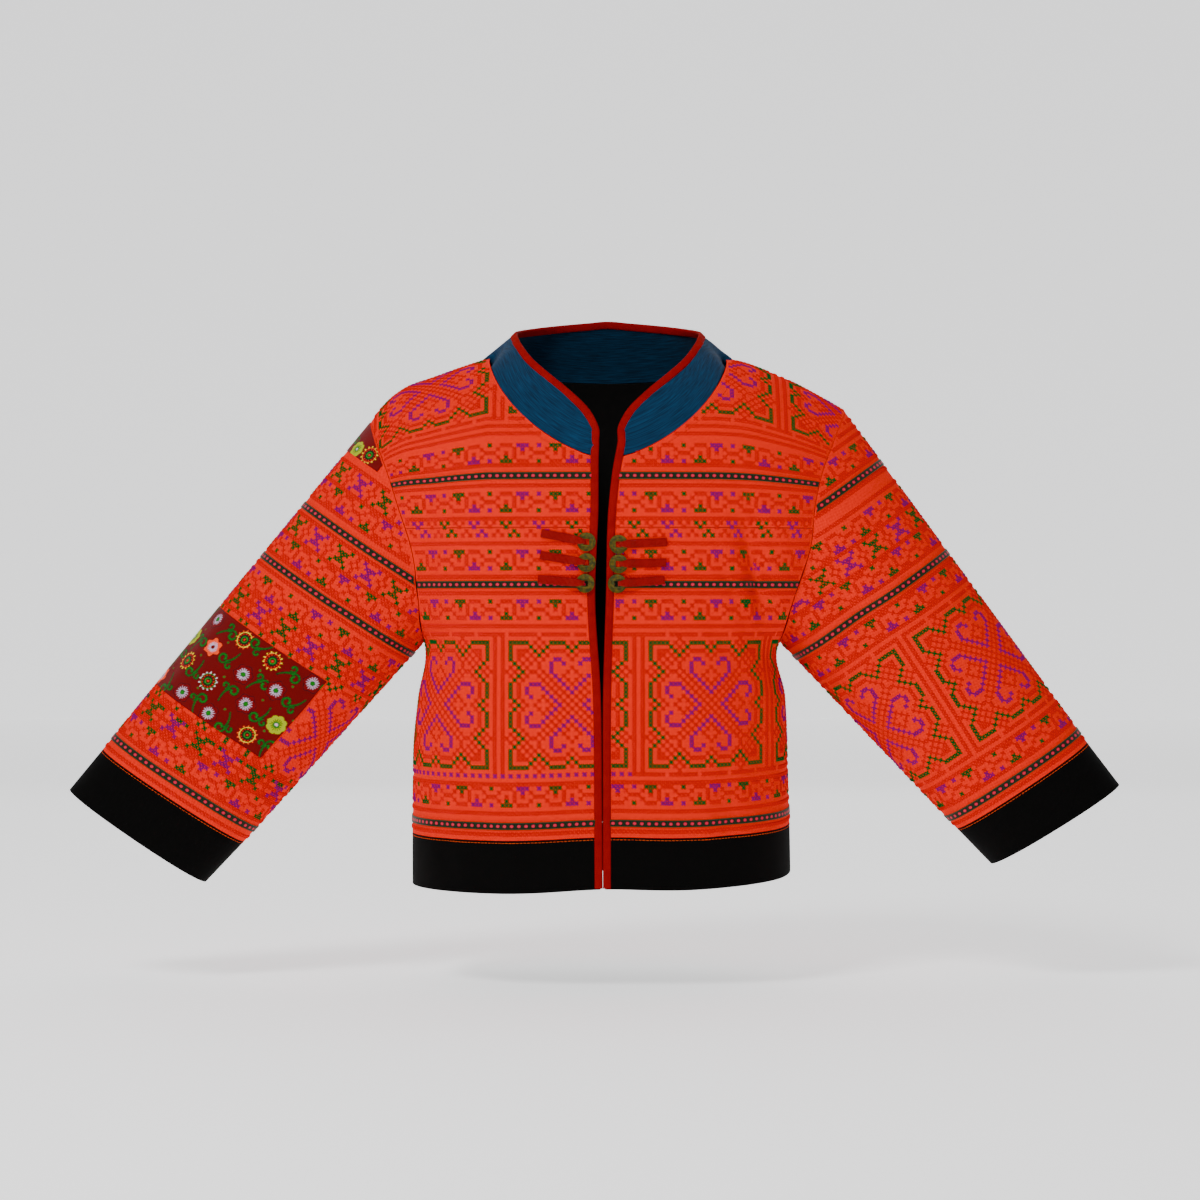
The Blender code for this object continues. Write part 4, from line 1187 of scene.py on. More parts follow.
def strands(name: str, middle: Array, along: Array, beside: Array, normal: Array, top: Array,
            finish: Finish) -> Obj:
    """Joined mesh of short raised strands of thread, each a closed wedge.

    Args:
        name: name of the piece.
        middle: middle of each strand on the cloth.
        along: half of each strand's length, as a vector.
        beside: half of each strand's width, as a vector to its left.
        normal: outward direction of the cloth.
        top: height of each strand's crown.
        finish: the thread.

    Returns:
        The new object.
    """
    sunk = middle - normal * 0.2
    crown = middle + normal * top[:, None]
    points = np.stack((sunk - along - beside, sunk + along - beside, sunk + along + beside,
                       sunk - along + beside, crown - along * 0.6, crown + along * 0.6),
                      axis=1).reshape(-1, 3)
    starts = np.arange(len(middle))[:, None] * 6
    faces: List[List[int]] = []
    for face in ((3, 2, 1, 0), (3, 0, 4), (1, 2, 5), (0, 1, 5, 4), (2, 3, 4, 5)):
        faces += (starts + np.array(face)[None, :]).tolist()
    return build_mesh(name, points, faces, [finish], smooth=0.0)


@dataclass(frozen=True)
class StitchWork:
    """Raised cross stitches: half reach, half width of a strand, and heights of the two strands."""

    reach: float = 2.0
    wide: float = 1.1
    high: float = 0.7
    over: float = 1.05

    def work(self, name: str, cloth: ClothMap, places: Array, finish: Finish) -> Obj:
        """Make every stitch of one thread as a joined mesh.

        Args:
            name: name of the piece.
            cloth: the cloth it is worked on.
            places: U and V of each stitch.
            finish: the thread.

        Returns:
            The new object.
        """
        u, v = places[:, 0], places[:, 1]
        vary = np.sin(u * 12.9898 + v * 78.233) * 43758.5453
        reach = (self.reach * (0.94 + 0.1 * (vary - np.floor(vary))))[:, None]
        middle, normal = cloth.at(u, v), cloth.normal(u, v)
        across = (cloth.at(u + 2.0, v) - cloth.at(u - 2.0, v)) / 4.0
        up = (cloth.at(u, v + 2.0) - cloth.at(u, v - 2.0)) / 4.0
        wide = self.wide * 0.707
        rising, falling = (across + up), (up - across)
        return strands(name, np.concatenate((middle, middle)),
                       np.concatenate((rising * reach, -falling * reach)),
                       np.concatenate((falling * wide, rising * wide)),
                       np.concatenate((normal, normal)),
                       np.concatenate((np.full(len(u), self.high), np.full(len(u), self.over))), finish)


def stitched(chart: Chart, offset: float, keep: Callable[[Array, Array], Array]) -> Dict[int, Array]:
    """Places of a chart's stitches that fall on the cloth.

    Args:
        chart: the chart.
        offset: U of the chart's column 0.
        keep: says which places are on the cloth.

    Returns:
        U and V of the stitches, by thread code.
    """
    cells = np.array([(column, row, code) for (column, row), code in chart.cells.items()], dtype=float)
    u, v = (cells[:, 0] + 0.5) * CELL + offset, (cells[:, 1] + 0.5) * CELL
    inside = keep(u, v)
    places = np.stack((u, v), axis=1)
    return {thread.value: places[inside & (cells[:, 2] == thread.value)] for thread in Thread}


THREADS = {Thread.RED: RED, Thread.GREEN: GREEN, Thread.PURPLE: PURPLE}


# ---------------------------------------------------------------- pieces of the body
def strip_on(name: str, cloth: ClothMap, us: Array, vs: Array, uv: Array, lifts: Pair,
             finishes: Sequence[Finish], closed: bool = False, colours: Optional[Array] = None) -> Obj:
    """Thin piece that follows a cloth between two heights above it.

    Args:
        name: name of the piece.
        cloth: the cloth below.
        us: U of its grid.
        vs: V of its grid.
        uv: layout of its own weave, with one more column where it is closed.
        lifts: height of its inside and its outside.
        finishes: finish of the outside, then of the inside.
        closed: whether it goes all round.
        colours: printed colour of each grid point.

    Returns:
        The new object.
    """
    outer, inner = cloth.at(us, vs, lifts[1]), cloth.at(us, vs, lifts[0])
    return shell(name, outer, inner, uv, finishes, closed, colours)


def rows_between(first: float, last: float, step: float) -> Array:
    """Evenly spaced values from first to last, about a step apart."""
    return np.linspace(first, last, max(2, int(round(abs(last - first) / step)) + 1))


class Body:
    """Fronts, back, their embroidery, ribbons, hem bands and lining."""

    WALL = 1.2

    def __init__(self, form: BodyForm) -> None:
        """Lay both faces of the body out.

        Args:
            form: the body's surface.
        """
        self.form = form
        self.cloths = {face: BodyCloth(form, face) for face in Face}

    def panel(self, name: str, face: Face, side: Optional[Side], low: float, high: float, finish: Finish,
              edge: float = 1.5) -> Obj:
        """Cloth between two heights of a front or the back.

        Args:
            name: name of the piece.
            face: front or back.
            side: the front's side, or nothing for the back.
            low: V of its lower edge.
            high: V of its upper edge.
            finish: the cloth.
            edge: how far a front's inner edge lies back inside the binding.

        Returns:
            The new object.
        """
        cloth = self.cloths[face]
        rows = rows_between(low, high, 4.0)
        first, last = cloth.span(side, rows)
        if finish is TWILL:
            first, last = first - (side is not Side.LEFT) * 0.4, last + (side is not Side.RIGHT) * 0.4
        inset = np.where(rows < cloth.height(-99.0), edge, 0.0)
        if side is Side.RIGHT:
            last = last - inset
        if side is Side.LEFT:
            first = first + inset
        if side is None:
            one, two = cloth.neck_corners(rows)
            shares = np.linspace(0.0, 1.0, 97)
            us = np.stack([np.interp(shares, (0.0, 0.25, 0.75, 1.0), stops)
                           for stops in zip(first, one, two, last)])
        else:
            us = first[:, None] + (last - first)[:, None] * np.linspace(0.0, 1.0, 57)[None, :]
        vs = np.repeat(rows[:, None], us.shape[1], axis=1)
        return strip_on(name, cloth.map, us, vs, np.stack((us, vs), axis=-1), (-self.WALL, 0.0),
                        (finish, LINING))

    def ribbon(self, name: str, face: Face, side: Optional[Side], level: float) -> Obj:
        """Ribbon laid along a row of a front or the back.

        Args:
            name: name of the piece.
            face: front or back.
            side: side of the wearer.
            level: row level.

        Returns:
            The new object.
        """
        cloth = self.cloths[face]
        middle = cloth.height(level)
        across = np.linspace(-3.5, 3.5, 6)
        first, last = cloth.span(side, middle + across)
        margins = {None: (1.0, 1.0), Side.RIGHT: (1.0, 3.5), Side.LEFT: (3.5, 1.0)}[side]
        shares = rows_between(0.0, 1.0, 3.5 / float((last - first).mean()))
        start, stop = first + margins[0], last - margins[1]
        us = start[:, None] + (stop - start)[:, None] * shares[None, :]
        vs = np.repeat((middle + across)[:, None], us.shape[1], axis=1)
        uv = np.stack((us, vs - middle), axis=-1)
        return strip_on(name, cloth.map, us, vs, uv, (0.1, 1.0), (RIBBON,))

    def chart(self, first: int, columns: range, dotted: Optional[range]) -> Chart:
        """Rows of embroidery from the hem seam to the shoulder.

        Args:
            first: the middle column of one medallion.
            columns: the columns covered.
            dotted: columns with single purple stitches below the medallions.

        Returns:
            The chart.
        """
        chart = Chart()
        for row in (1, 6, 59, 63, 71, 77, 85, 90, 98):
            chart.line(row, columns)
        for row in (8, 53, 65, 79, 91):
            chart.band(row, columns)
        chart.half_stars(73, columns)
        chart.block(32, first, columns, dotted)
        chart.block(119, first, columns)
        return chart

    def embroider(self, word: str, face: Face, side: Optional[Side], first: int, columns: range,
                  offset: float, dotted: Optional[range] = None) -> List[Obj]:
        """Work the embroidery of a front or the back.

        Args:
            word: name of the panel.
            face: front or back.
            side: the front's side, or nothing for the back.
            first: the middle column of one medallion.
            columns: the columns covered.
            offset: U of column 0.
            dotted: columns with single purple stitches below the medallions.

        Returns:
            The embroidery, a piece for each thread.
        """
        cloth = self.cloths[face]

        def keep(u: Array, v: Array) -> Array:
            """Places inside the panel's edges.

            Args:
                u: U of the points.
                v: V of the points.

            Returns:
                A mask.
            """
            low, high = cloth.span(side, v)
            at_neck = v > cloth.height(-100.0)
            inner = np.where(at_neck, 3.5, 7.6)
            low = low + (inner if side is Side.LEFT else 2.2)
            high = high - (inner if side is Side.RIGHT else 2.2)
            return (u > low) & (u < high) & (v < cloth.top - 2.5) & (v > 2.5)

        made = []
        for thread, places in stitched(self.chart(first, columns, dotted), offset, keep).items():
            kind = Thread(thread)
            made.append(declare(StitchWork().work(f"stitches_{word}_{kind.name.lower()}", cloth.map, places,
                                                  THREADS[kind])))
        return made

    def build(self) -> None:
        """Make the body's pieces."""
        front, back = self.cloths[Face.FRONT], self.cloths[Face.BACK]
        yoke = front.height(self.form.sizes.yoke_z)
        for side, first, offset in ((Side.RIGHT, -8, 1.0), (Side.LEFT, 27, -3.0)):
            word = side.word
            work = self.embroider(f"front_{word}", Face.FRONT, side, first,
                                  range(-72, 2) if side is Side.RIGHT else range(-2, 76), offset,
                                  range(-72, 2) if side is Side.RIGHT else range(-2, 8))
            lower = self.panel(f"front_{word}_lower_cloth", Face.FRONT, side, 0.15, yoke - 0.15, GROUND)
            upper = self.panel(f"front_{word}_upper_cloth", Face.FRONT, side, yoke + 0.15, front.top, GROUND)
            band = self.panel(f"hem_band_{word}_cloth", Face.FRONT, side, front.bottom, -0.15, TWILL)
            declare(lower, [f"front_{word}_lower"])
            declare(upper, [f"front_{word}_upper"])
            declare(band, [f"hem_band_{word}"])
            for piece, extra in ((lower, work), (upper, ()), (band, ())):
                cloth_piece(piece)
            for row, level in enumerate(self.form.sizes.ribbon_levels, start=1):
                name = f"ribbon_front_{word}_{row}"
                cloth_piece(declare(self.ribbon(f"{name}_weave", Face.FRONT, side, level), [name]))
        work = self.embroider("back", Face.BACK, None, 0, range(-80, 80), -2.0)
        sheet = self.panel("back_cloth", Face.BACK, None, 0.15, back.top, GROUND)
        cloth_piece(declare(sheet, ["back"]))
        band = self.panel("hem_band_back_cloth", Face.BACK, None, back.bottom, -0.15, TWILL)
        cloth_piece(declare(band, ["hem_band_back"]))
        for row, level in enumerate(self.form.sizes.ribbon_levels, start=1):
            name = f"ribbon_back_{row}"
            cloth_piece(declare(self.ribbon(f"{name}_weave", Face.BACK, None, level), [name]))
        cloth_piece(declare(self.lining(), ["back_lining"]))
        self.topstitch()

    def lining(self) -> Obj:
        """Black lining that hangs inside the back.

        Returns:
            The new object.
        """
        cloth = self.cloths[Face.BACK]
        rows = rows_between(2.0, cloth.top - 1.5, 6.0)
        first, last = cloth.span(None, rows)
        one, two = cloth.neck_corners(rows)
        shares = np.linspace(0.0, 1.0, 65)
        us = np.stack([np.interp(shares, (0.0, 0.25, 0.75, 1.0), stops)
                       for stops in zip(first + 3.0, one, two, last - 3.0)])
        vs = np.repeat(rows[:, None], us.shape[1], axis=1)
        return strip_on("back_lining_cloth", cloth.map, us, vs, np.stack((us, vs), axis=-1), (-6.6, -5.8),
                        (LINING,))

    def run_line(self, name: str, cloth: ClothMap, us: Array, vs: Array, finish: Finish,
                 size: Triple) -> None:
        """Running stitches along a line of the cloth.

        Args:
            name: name of the piece.
            cloth: the cloth sewn.
            us: U of each stitch.
            vs: V of each stitch.
            finish: the thread.
            size: half length, half width and height of a stitch.
        """
        points, normal = cloth.at(us, vs), cloth.normal(us, vs)
        along = np.gradient(points, axis=0)
        along = unit(along)
        beside = np.cross(normal, along)
        made = strands(name, points, along * size[0], beside * size[1], normal, np.full(len(us), size[2]),
                       finish)
        declare(made)

    def topstitch(self) -> None:
        """Orange stitching on the black hem band, and the thread of the chest seam."""
        for face, spans in ((Face.FRONT, Side), (Face.BACK, (None,))):
            cloth = self.cloths[face]
            for side in spans:
                word = side.word if side else "back"
                for name, v, finish, size, slot in (
                        ("hem_topstitch", -2.2, ORANGE, (1.5, 0.35, 0.35), "black_band"),
                        ("chest_seam_thread", cloth.height(self.form.sizes.yoke_z), STRAP, (1.6, 0.5, 0.4),
                         "cross_stitch")):
                    low, high = cloth.span(side, np.array([v]))
                    us = np.arange(low[0] + 3.0, high[0] - 3.0, 3.6 if v < 0 else 2.8)
                    self.run_line(f"{name}_{word}", cloth.map, us, np.full(len(us), v), finish, size)
        for side in Side:
            self.collar_topstitch(side)

    def collar_topstitch(self, side: Side) -> None:
        """Dark stitching on a front, outside the collar seam.

        Args:
            side: side of the wearer.
        """
        cloth = self.cloths[Face.FRONT]
        vs = rows_between(cloth.height(-92.0), cloth.height(-12.0), 2.0)
        us = np.interp(vs, cloth.v, cloth.inner[side]) + side.value * 11.0
        points = cloth.map.at(us, vs)
        run = run_along(points)
        at = np.arange(0.0, run[-1], 3.4)
        us, vs = np.interp(at, run, us), np.interp(at, run, vs)
        self.run_line(f"collar_topstitch_{side.word}", cloth.map, us, vs, STRAP, (1.2, 0.35, 0.4))


# ---------------------------------------------------------------- sleeves
class Sleeve:
    """One sleeve with its black band, ribbons and embroidery."""

    WALL = 1.2

    def __init__(self, form: BodyForm, side: Side) -> None:
        """Lay the sleeve out.

        Args:
            form: the body's surface.
            side: side of the wearer.
        """
        self.side = side
        self.sizes = SLEEVE_SIZES[side]
        self.cloth = SleeveCloth(form, self.sizes)
        self.sign = -1.0 if side is Side.LEFT else 1.0

    def turns(self, count: int) -> Array:
        """Turns round the arm in the order that U rises."""
        return np.linspace(-180.0, 180.0, count + 1) * self.sign

    def tube(self, name: str, lows: Array, highs: Array, rows: int, finish: Finish) -> Obj:
        """Closed tube of cloth between two heights at each turn.

        Args:
            name: name of the piece.
            lows: V of the lower edge at each turn.
            highs: V of the upper edge at each turn.
            rows: number of rows.
            finish: the cloth.

        Returns:
            The new object.
        """
        turns = self.turns(len(lows) - 1)
        shares = np.linspace(0.0, 1.0, rows)[:, None]
        vs = lows[None, :] + (highs - lows)[None, :] * shares
        us = np.stack([self.cloth.u_at(turn, vs[:, column]) for column, turn in enumerate(turns)], axis=1)
        uv = np.stack((us, vs), axis=-1)
        return strip_on(name, self.cloth.map, us[:, :-1], vs[:, :-1], uv, (-self.WALL, 0.0),
                        (finish, LINING), True)

    def ribbon(self, name: str, middle: float) -> Obj:
        """Ribbon round the arm, all the way or as far as the armhole.

        Args:
            name: name of the piece.
            middle: V of its middle line.

        Returns:
            The new object.
        """
        across = np.linspace(-3.5, 3.5, 6)
        closed = float(self.cloth.length.min()) > middle + 5.0
        if closed:
            turns = self.turns(120)
            us = np.stack([self.cloth.u_at(turn, middle + across) for turn in turns], axis=1)
        else:
            spans = [self.reach(middle + v) for v in across]
            count = int((spans[0][1] - spans[0][0]) / 3.5)
            us = np.stack([np.linspace(low, high, count) for low, high in spans])
        vs = np.repeat((middle + across)[:, None], us.shape[1], axis=1)
        uv = np.stack((us, vs - middle), axis=-1)
        if closed:
            us, vs = us[:, :-1], vs[:, :-1]
        return strip_on(name, self.cloth.map, us, vs, uv, (0.1, 1.0), (RIBBON,), closed)

    def reach(self, v: float, margin: float = 1.5) -> Pair:
        """Lowest and highest U of a row that stays inside the armhole seam.

        Args:
            v: V of the points.
            margin: how far it stays inside the edges.

        Returns:
            Both ends.
        """
        us = self.cloth.map.across
        inside = self.cloth.map.flag(us, np.full(len(us), v)) > margin
        middle = int(np.argmin(np.abs(us)))
        low = high = middle
        while low > 0 and inside[low - 1]:
            low -= 1
        while high < len(us) - 1 and inside[high + 1]:
            high += 1
        return float(us[low]), float(us[high])

    def chart(self, first: int, columns: range) -> Chart:
        """Rows of embroidery from the cuff seam to the shoulder.

        Args:
            first: the middle column of one medallion.
            columns: the columns covered.

        Returns:
            The chart.
        """
        chart = Chart()
        if self.side is Side.RIGHT:
            lines = (1, 6, 12, 18, 47, 53, 60, 64, 70, 76, 81, 87, 93)
            bands, stars = (7, 54, 65, 82), (13, 48, 71, 88)
            chart.block(32, first, columns)
        else:
            lines, bands, stars = (1, 6, 56, 61, 67, 73, 80, 84, 88, 95), (7, 51, 62, 74, 89), (68,)
            chart.block(31, first, columns)
            chart.block(116, first, columns)
        for row in lines:
            chart.line(row, columns)
        for row in bands:
            chart.band(row, columns)
        for row in stars:
            chart.stars(row, columns)
        return chart

    def patched(self, u: Array, v: Array) -> Array:
        """Places that a printed patch covers.

        Args:
            u: U of the points.
            v: V of the points.

        Returns:
            A mask.
        """
        if self.side is Side.LEFT:
            return np.zeros(len(u), dtype=bool)
        low, high = PATCH.span(self)
        forearm = (v > PATCH.low - 2) & (v < PATCH.high + 2) & (u > np.interp(v, self.cloth.v, low) - 2) \
            & (u < np.interp(v, self.cloth.v, high) + 2)
        return forearm | (v > PATCH.shoulder_low - 2)

    def build(self) -> None:
        """Make the sleeve's pieces."""
        word = self.side.word
        count = 120
        index = np.interp(self.turns(count), self.cloth.turn, np.arange(241))
        length = np.interp(index, np.arange(241), self.cloth.length)
        drop = np.interp(index, np.arange(241), self.cloth.drop)
        tube = self.tube(f"sleeve_{word}_cloth", np.full(count + 1, 0.15), length - 0.6, 100, GROUND)
        declare(tube, [f"sleeve_{word}"])
        first = 14 if self.side is Side.RIGHT else -14

        def keep(u: Array, v: Array) -> Array:
            """Places on the bare sleeve cloth.

            Args:
                u: U of the points.
                v: V of the points.

            Returns:
                A mask.
            """
            low, high = (np.interp(v, self.cloth.v, edge) for edge in
                         (self.cloth.map.run[:, 0], self.cloth.map.run[:, -1]))
            inside = (u > low + 2.2) & (u < high - 2.2) & (self.cloth.map.flag(u, v) > 3.4)
            return inside & (v > 2.5) & ~self.patched(u, v)

        for thread, places in stitched(self.chart(first, range(-78, 78)), 0.0, keep).items():
            kind = Thread(thread)
            name = f"stitches_sleeve_{word}_{kind.name.lower()}"
            made = StitchWork().work(name, self.cloth.map, places, THREADS[kind])
            declare(made)
        cloth_piece(tube)
        band = self.tube(f"cuff_{word}_cloth", -drop, np.full(count + 1, -0.15), 14, TWILL)
        cloth_piece(declare(band, [f"cuff_{word}"]))
        for row, height in enumerate(self.sizes.ribbons, start=1):
            name = f"ribbon_sleeve_{word}_{row}"
            cloth_piece(declare(self.ribbon(f"{name}_weave", height), [name]))
        low, high = self.cloth.map.run[30, 0], self.cloth.map.run[30, -1]
        us = np.arange(low + 2.0, high - 2.0, 3.6)
        vs = np.full(len(us), -2.2)
        points, normal = self.cloth.map.at(us, vs), self.cloth.map.normal(us, vs)
        along = np.gradient(points, axis=0)
        along = unit(along)
        declare(strands(f"cuff_topstitch_{word}", points, along * 1.5, np.cross(normal, along) * 0.35, normal,
                        np.full(len(us), 0.35), ORANGE))


# ---------------------------------------------------------------- printed patches
class Motif(Enum):
    """Kinds of printed motif."""

    SCROLL = "curling scroll"
    DAISY = "spiky daisy on a dark blossom"
    ROUND = "round-petalled flower"
    LILY = "orange-red flower with a lilac heart"
    WHEEL = "sun wheel"
    DOT = "small dot"


@dataclass(frozen=True)
class Placed:
    """One printed motif: its kind, middle, radius and turn."""

    kind: Motif
    x: float
    y: float
    size: float
    turn: float = 0.0


class FloralPrint:
    """Printed cotton drawn from motifs."""

    def __init__(self, placed: Sequence[Placed]) -> None:
        """Keep the motifs, the first ones undermost."""
        self.placed = placed

    def paint(self, x: Array, y: Array) -> Array:
        """Printed colour at points of the cloth.

        Args:
            x: across the cloth in millimetres.
            y: up the cloth in millimetres.

        Returns:
            Linear colours.
        """
        ground = np.array(srgb("#6A0206"))
        colours = np.broadcast_to(ground, x.shape + (4,)).copy()
        for one in self.placed:
            dx, dy = x - one.x, y - one.y
            radius = np.hypot(dx, dy) / one.size
            angle = np.arctan2(dy, dx) - math.radians(one.turn)
            for inside, code in self._layers(one, radius, angle, dx, dy):
                colours[inside] = srgb(code)
        return colours

    def _layers(self, one: Placed, radius: Array, angle: Array, dx: Array,
                dy: Array) -> List[Tuple[Array, str]]:
        """Masks and colours of one motif, undermost first.

        Args:
            one: what is made, with its sizes and place.
            radius: distance from its middle, in its own radii.
            angle: direction from its middle, in radians.
            dx: distance across from its middle.
            dy: distance up from its middle.

        Returns:
            Masks and colours.
        """
        rays = np.abs(np.cos(8 * angle))
        if one.kind is Motif.SCROLL:
            return self._scroll(one, dx, dy)
        if one.kind is Motif.DAISY:
            blossom = 0.9 + 0.08 * np.cos(6 * angle)
            return [(radius < blossom, "#33020A"), (radius < blossom - 0.07, "#74030A"),
                    (radius < 0.26 + 0.36 * rays ** 2, "#C8B4CC"), (radius < 0.25, "#0A2A08"),
                    (radius < 0.19, "#12780F")]
        if one.kind is Motif.ROUND:
            petals = 0.86 + 0.14 * np.abs(np.cos(4 * angle))
            return [(radius < petals, "#A8B408"), (radius < 0.3 + 0.36 * rays ** 3, "#1E5A08"),
                    (radius < 0.3, "#1E7A1A"), (radius < 0.16, "#E2B4C8")]
        if one.kind is Motif.LILY:
            petals = 0.88 + 0.12 * np.cos(6 * angle)
            return [(radius < petals, "#FF4A14"), (radius < 0.3 + 0.28 * rays, "#C8B0CC"),
                    (radius < 0.22, "#6A0408")]
        if one.kind is Motif.WHEEL:
            pairs = (("#F2D818", "#E03A08"), ("#E8E0E4", "#1E7A1A"), ("#FF5A14", "#F2D818"))
            spike, ring = pairs[int(one.turn) % 3]
            points = 0.8 + 0.2 * np.abs(((angle * 13 / math.pi) % 2) - 1)
            beads = (np.cos(13 * angle) > 0.2) & (radius > 0.54) & (radius < 0.66)
            return [((radius < points) & (np.cos(26 * angle) > -0.2), spike), (radius < 0.8, ring),
                    (radius < 0.72, "#4A0208"), (beads, "#D81408"), (radius < 0.5, "#0C2A0C"),
                    (radius < 0.34, "#2A8A1E"), (radius < 0.24, "#1A0A06"), (radius < 0.13, "#D81408")]
        return [(radius < 1.0, "#14701A")]

    def _scroll(self, one: Placed, dx: Array, dy: Array) -> List[Tuple[Array, str]]:
        """A forked stem whose two ends curl opposite ways.

        Args:
            one: what is made, with its sizes and place.
            dx: distance across from its middle.
            dy: distance up from its middle.

        Returns:
            Masks and colours.
        """
        turn = math.radians(one.turn)
        x = (dx * math.cos(turn) + dy * math.sin(turn)) / one.size
        y = (dy * math.cos(turn) - dx * math.sin(turn)) / one.size
        gap = np.full(x.shape, 9.0)
        for t in np.linspace(0.0, 1.0, 40):
            big, small = math.radians(140 - 360 * t), math.radians(-110 + 290 * t)
            curl, bud = 0.46 - 0.26 * t, 0.32 - 0.2 * t
            for px, py, wide in (
                    (-0.95 + 1.1 * t, -0.6 + 1.35 * t - 0.68 * t * t, 0.04 + 0.04 * t),
                    (0.45 + curl * math.cos(big), -0.2 + curl * math.sin(big), 0.07 + 0.03 * t),
                    (-0.05 + bud * math.cos(small), 0.5 + bud * math.sin(small), 0.06 + 0.03 * t)):
                gap = np.minimum(gap, np.hypot(x - px, y - py) - wide)
        return [(gap < 0.05, "#2C0805"), (gap < 0.0, "#0C5A10"), (gap < -0.06, "#157A14")]


def forearm_motifs() -> Tuple[Placed, ...]:
    """Motifs of the forearm patch, from its back edge across the sleeve.

    Returns:
        The motifs, the first ones undermost.
    """
    made = []
    kinds = (Motif.DAISY, Motif.WHEEL, Motif.DAISY, Motif.ROUND, Motif.WHEEL, Motif.DAISY, Motif.LILY)
    for column in range(13):
        for row in range(4):
            k = column * 4 + row
            x = -4.0 + column * 20.0 + 2.4 * math.sin(k * 1.9)
            y = 10.0 + row * 26.0 + 2.4 * math.sin(k * 2.7 + 1.0)
            if (column + row) % 2:
                made.append(Placed(Motif.SCROLL, x, y, 12.0, k * 67.0))
                continue
            kind = kinds[(column // 2 * 3 + row * 2) % 7]
            made.append(Placed(kind, x, y, 10.8 if kind is Motif.DAISY else 10.0, k * 41.0))
            made.append(Placed(Motif.DOT, x + 11.0, y + 12.5, 1.1))
    return tuple(made)


@dataclass(frozen=True)
class PatchSizes:
    """Where the printed patches lie on the wearer's right sleeve: heights, and turns round the arm."""

    low: float = 84.0
    high: float = 183.0
    back: float = -55.0
    front: float = 118.0
    shoulder_low: float = 383.0

    def span(self, sleeve: "Sleeve") -> Tuple[Array, Array]:
        """U of the forearm patch's two side edges on every row."""
        rows = sleeve.cloth.v
        return sleeve.cloth.u_at(self.back, rows), sleeve.cloth.u_at(self.front, rows)


PATCH = PatchSizes()


class Patches:
    """The printed patches on the forearm and the shoulder."""

    STEP = 0.7

    def __init__(self, sleeve: Sleeve) -> None:
        """Keep the sleeve they are sewn to."""
        self.sleeve = sleeve

    def build(self) -> None:
        """Make both patches."""
        cloth = self.sleeve.cloth
        vs = rows_between(PATCH.low, PATCH.high, self.STEP)
        first, last = (np.interp(vs, cloth.v, edge) for edge in PATCH.span(self.sleeve))
        shares = rows_between(0.0, 1.0, self.STEP / float((last - first).mean()))
        us = first[:, None] + (last - first)[:, None] * shares[None, :]
        rows = np.repeat(vs[:, None], us.shape[1], axis=1)
        self.lay("patch_forearm", us, rows, us - first.min(), rows - PATCH.low, FloralPrint(forearm_motifs()))
        low, high = self.sleeve.reach(PATCH.shoulder_low + 7.0, 2.5)
        columns = rows_between(low, high, self.STEP)
        heights = np.arange(PATCH.shoulder_low, cloth.v[-1], 0.5)
        tops = [heights[cloth.map.flag(np.full(len(heights), u), heights) > 2.0][-1] for u in columns]
        shares = np.linspace(0.0, 1.0, 50)[:, None]
        rows = PATCH.shoulder_low + (np.array(tops)[None, :] - PATCH.shoulder_low) * shares
        us = np.repeat(columns[None, :], len(shares), axis=0)
        motifs = (Placed(Motif.SCROLL, 14.0, 12.0, 11.0, 40.0), Placed(Motif.SCROLL, -27.0, 9.0, 11.0, 160.0),
                  Placed(Motif.DAISY, -6.0, 14.0, 10.5), Placed(Motif.ROUND, 32.0, 7.0, 9.0),
                  Placed(Motif.LILY, -46.0, 7.0, 9.0), Placed(Motif.WHEEL, 52.0, 9.0, 10.0))
        self.lay("patch_shoulder", us, rows, us, rows - PATCH.shoulder_low, FloralPrint(motifs))

    def lay(self, node: str, us: Array, vs: Array, x: Array, y: Array, drawn: FloralPrint) -> None:
        """Lay one patch on the sleeve.

        Args:
            node: the CAD node it stands for.
            us: U of its grid.
            vs: V of its grid.
            x: across the print.
            y: up the print.
            drawn: the print.
        """
        uv = np.stack((us, vs), axis=-1)
        made = strip_on(f"{node}_cotton", self.sleeve.cloth.map, us, vs, uv, (0.1, 0.9), (PRINT,),
                        colours=drawn.paint(x, y))
        cloth_piece(declare(made, [node]))


# ---------------------------------------------------------------- collar and binding
@dataclass(frozen=True)
class CollarSizes:
    """The stand collar: share from centre front to centre back, base out, base Z, top out, top Y, top Z."""

    rows: Table = ((0.000, 10.0, -103.5, 9.5, -109.0, -90.0), (0.050, 24.0, -99.5, 10.5, -105.0, -73.0),
                   (0.105, 40.0, -92.5, 19.0, -98.0, -57.0), (0.215, 72.0, -72.0, 46.0, -82.0, -31.0),
                   (0.325, 97.0, -46.5, 71.0, -58.0, -9.0), (0.470, 117.7, -2.5, 91.0, -8.0, 21.0),
                   (0.640, 101.0, -9.3, 83.0, 42.0, 31.0), (0.810, 60.0, -14.8, 50.0, 73.0, 38.0),
                   (1.000, 0.0, -17.0, 0.0, 82.0, 43.0))
    start: float = 0.03
    binding: float = 7.2
    step: float = 6.2
    wall: float = 1.6


def refine(path: Array, count: int) -> Array:
    """Smooth path through points, evenly sampled along its length.

    Args:
        path: points along the path, a row each.
        count: how many points to make.

    Returns:
        The new points.
    """
    run = run_along(path)
    at = np.linspace(0.0, run[-1], count)
    table = tuple(tuple(float(n) for n in (r, *p)) for r, p in zip(run, path))
    return np.stack([read(table, 1 + axis, at) for axis in range(path.shape[1])], axis=1)


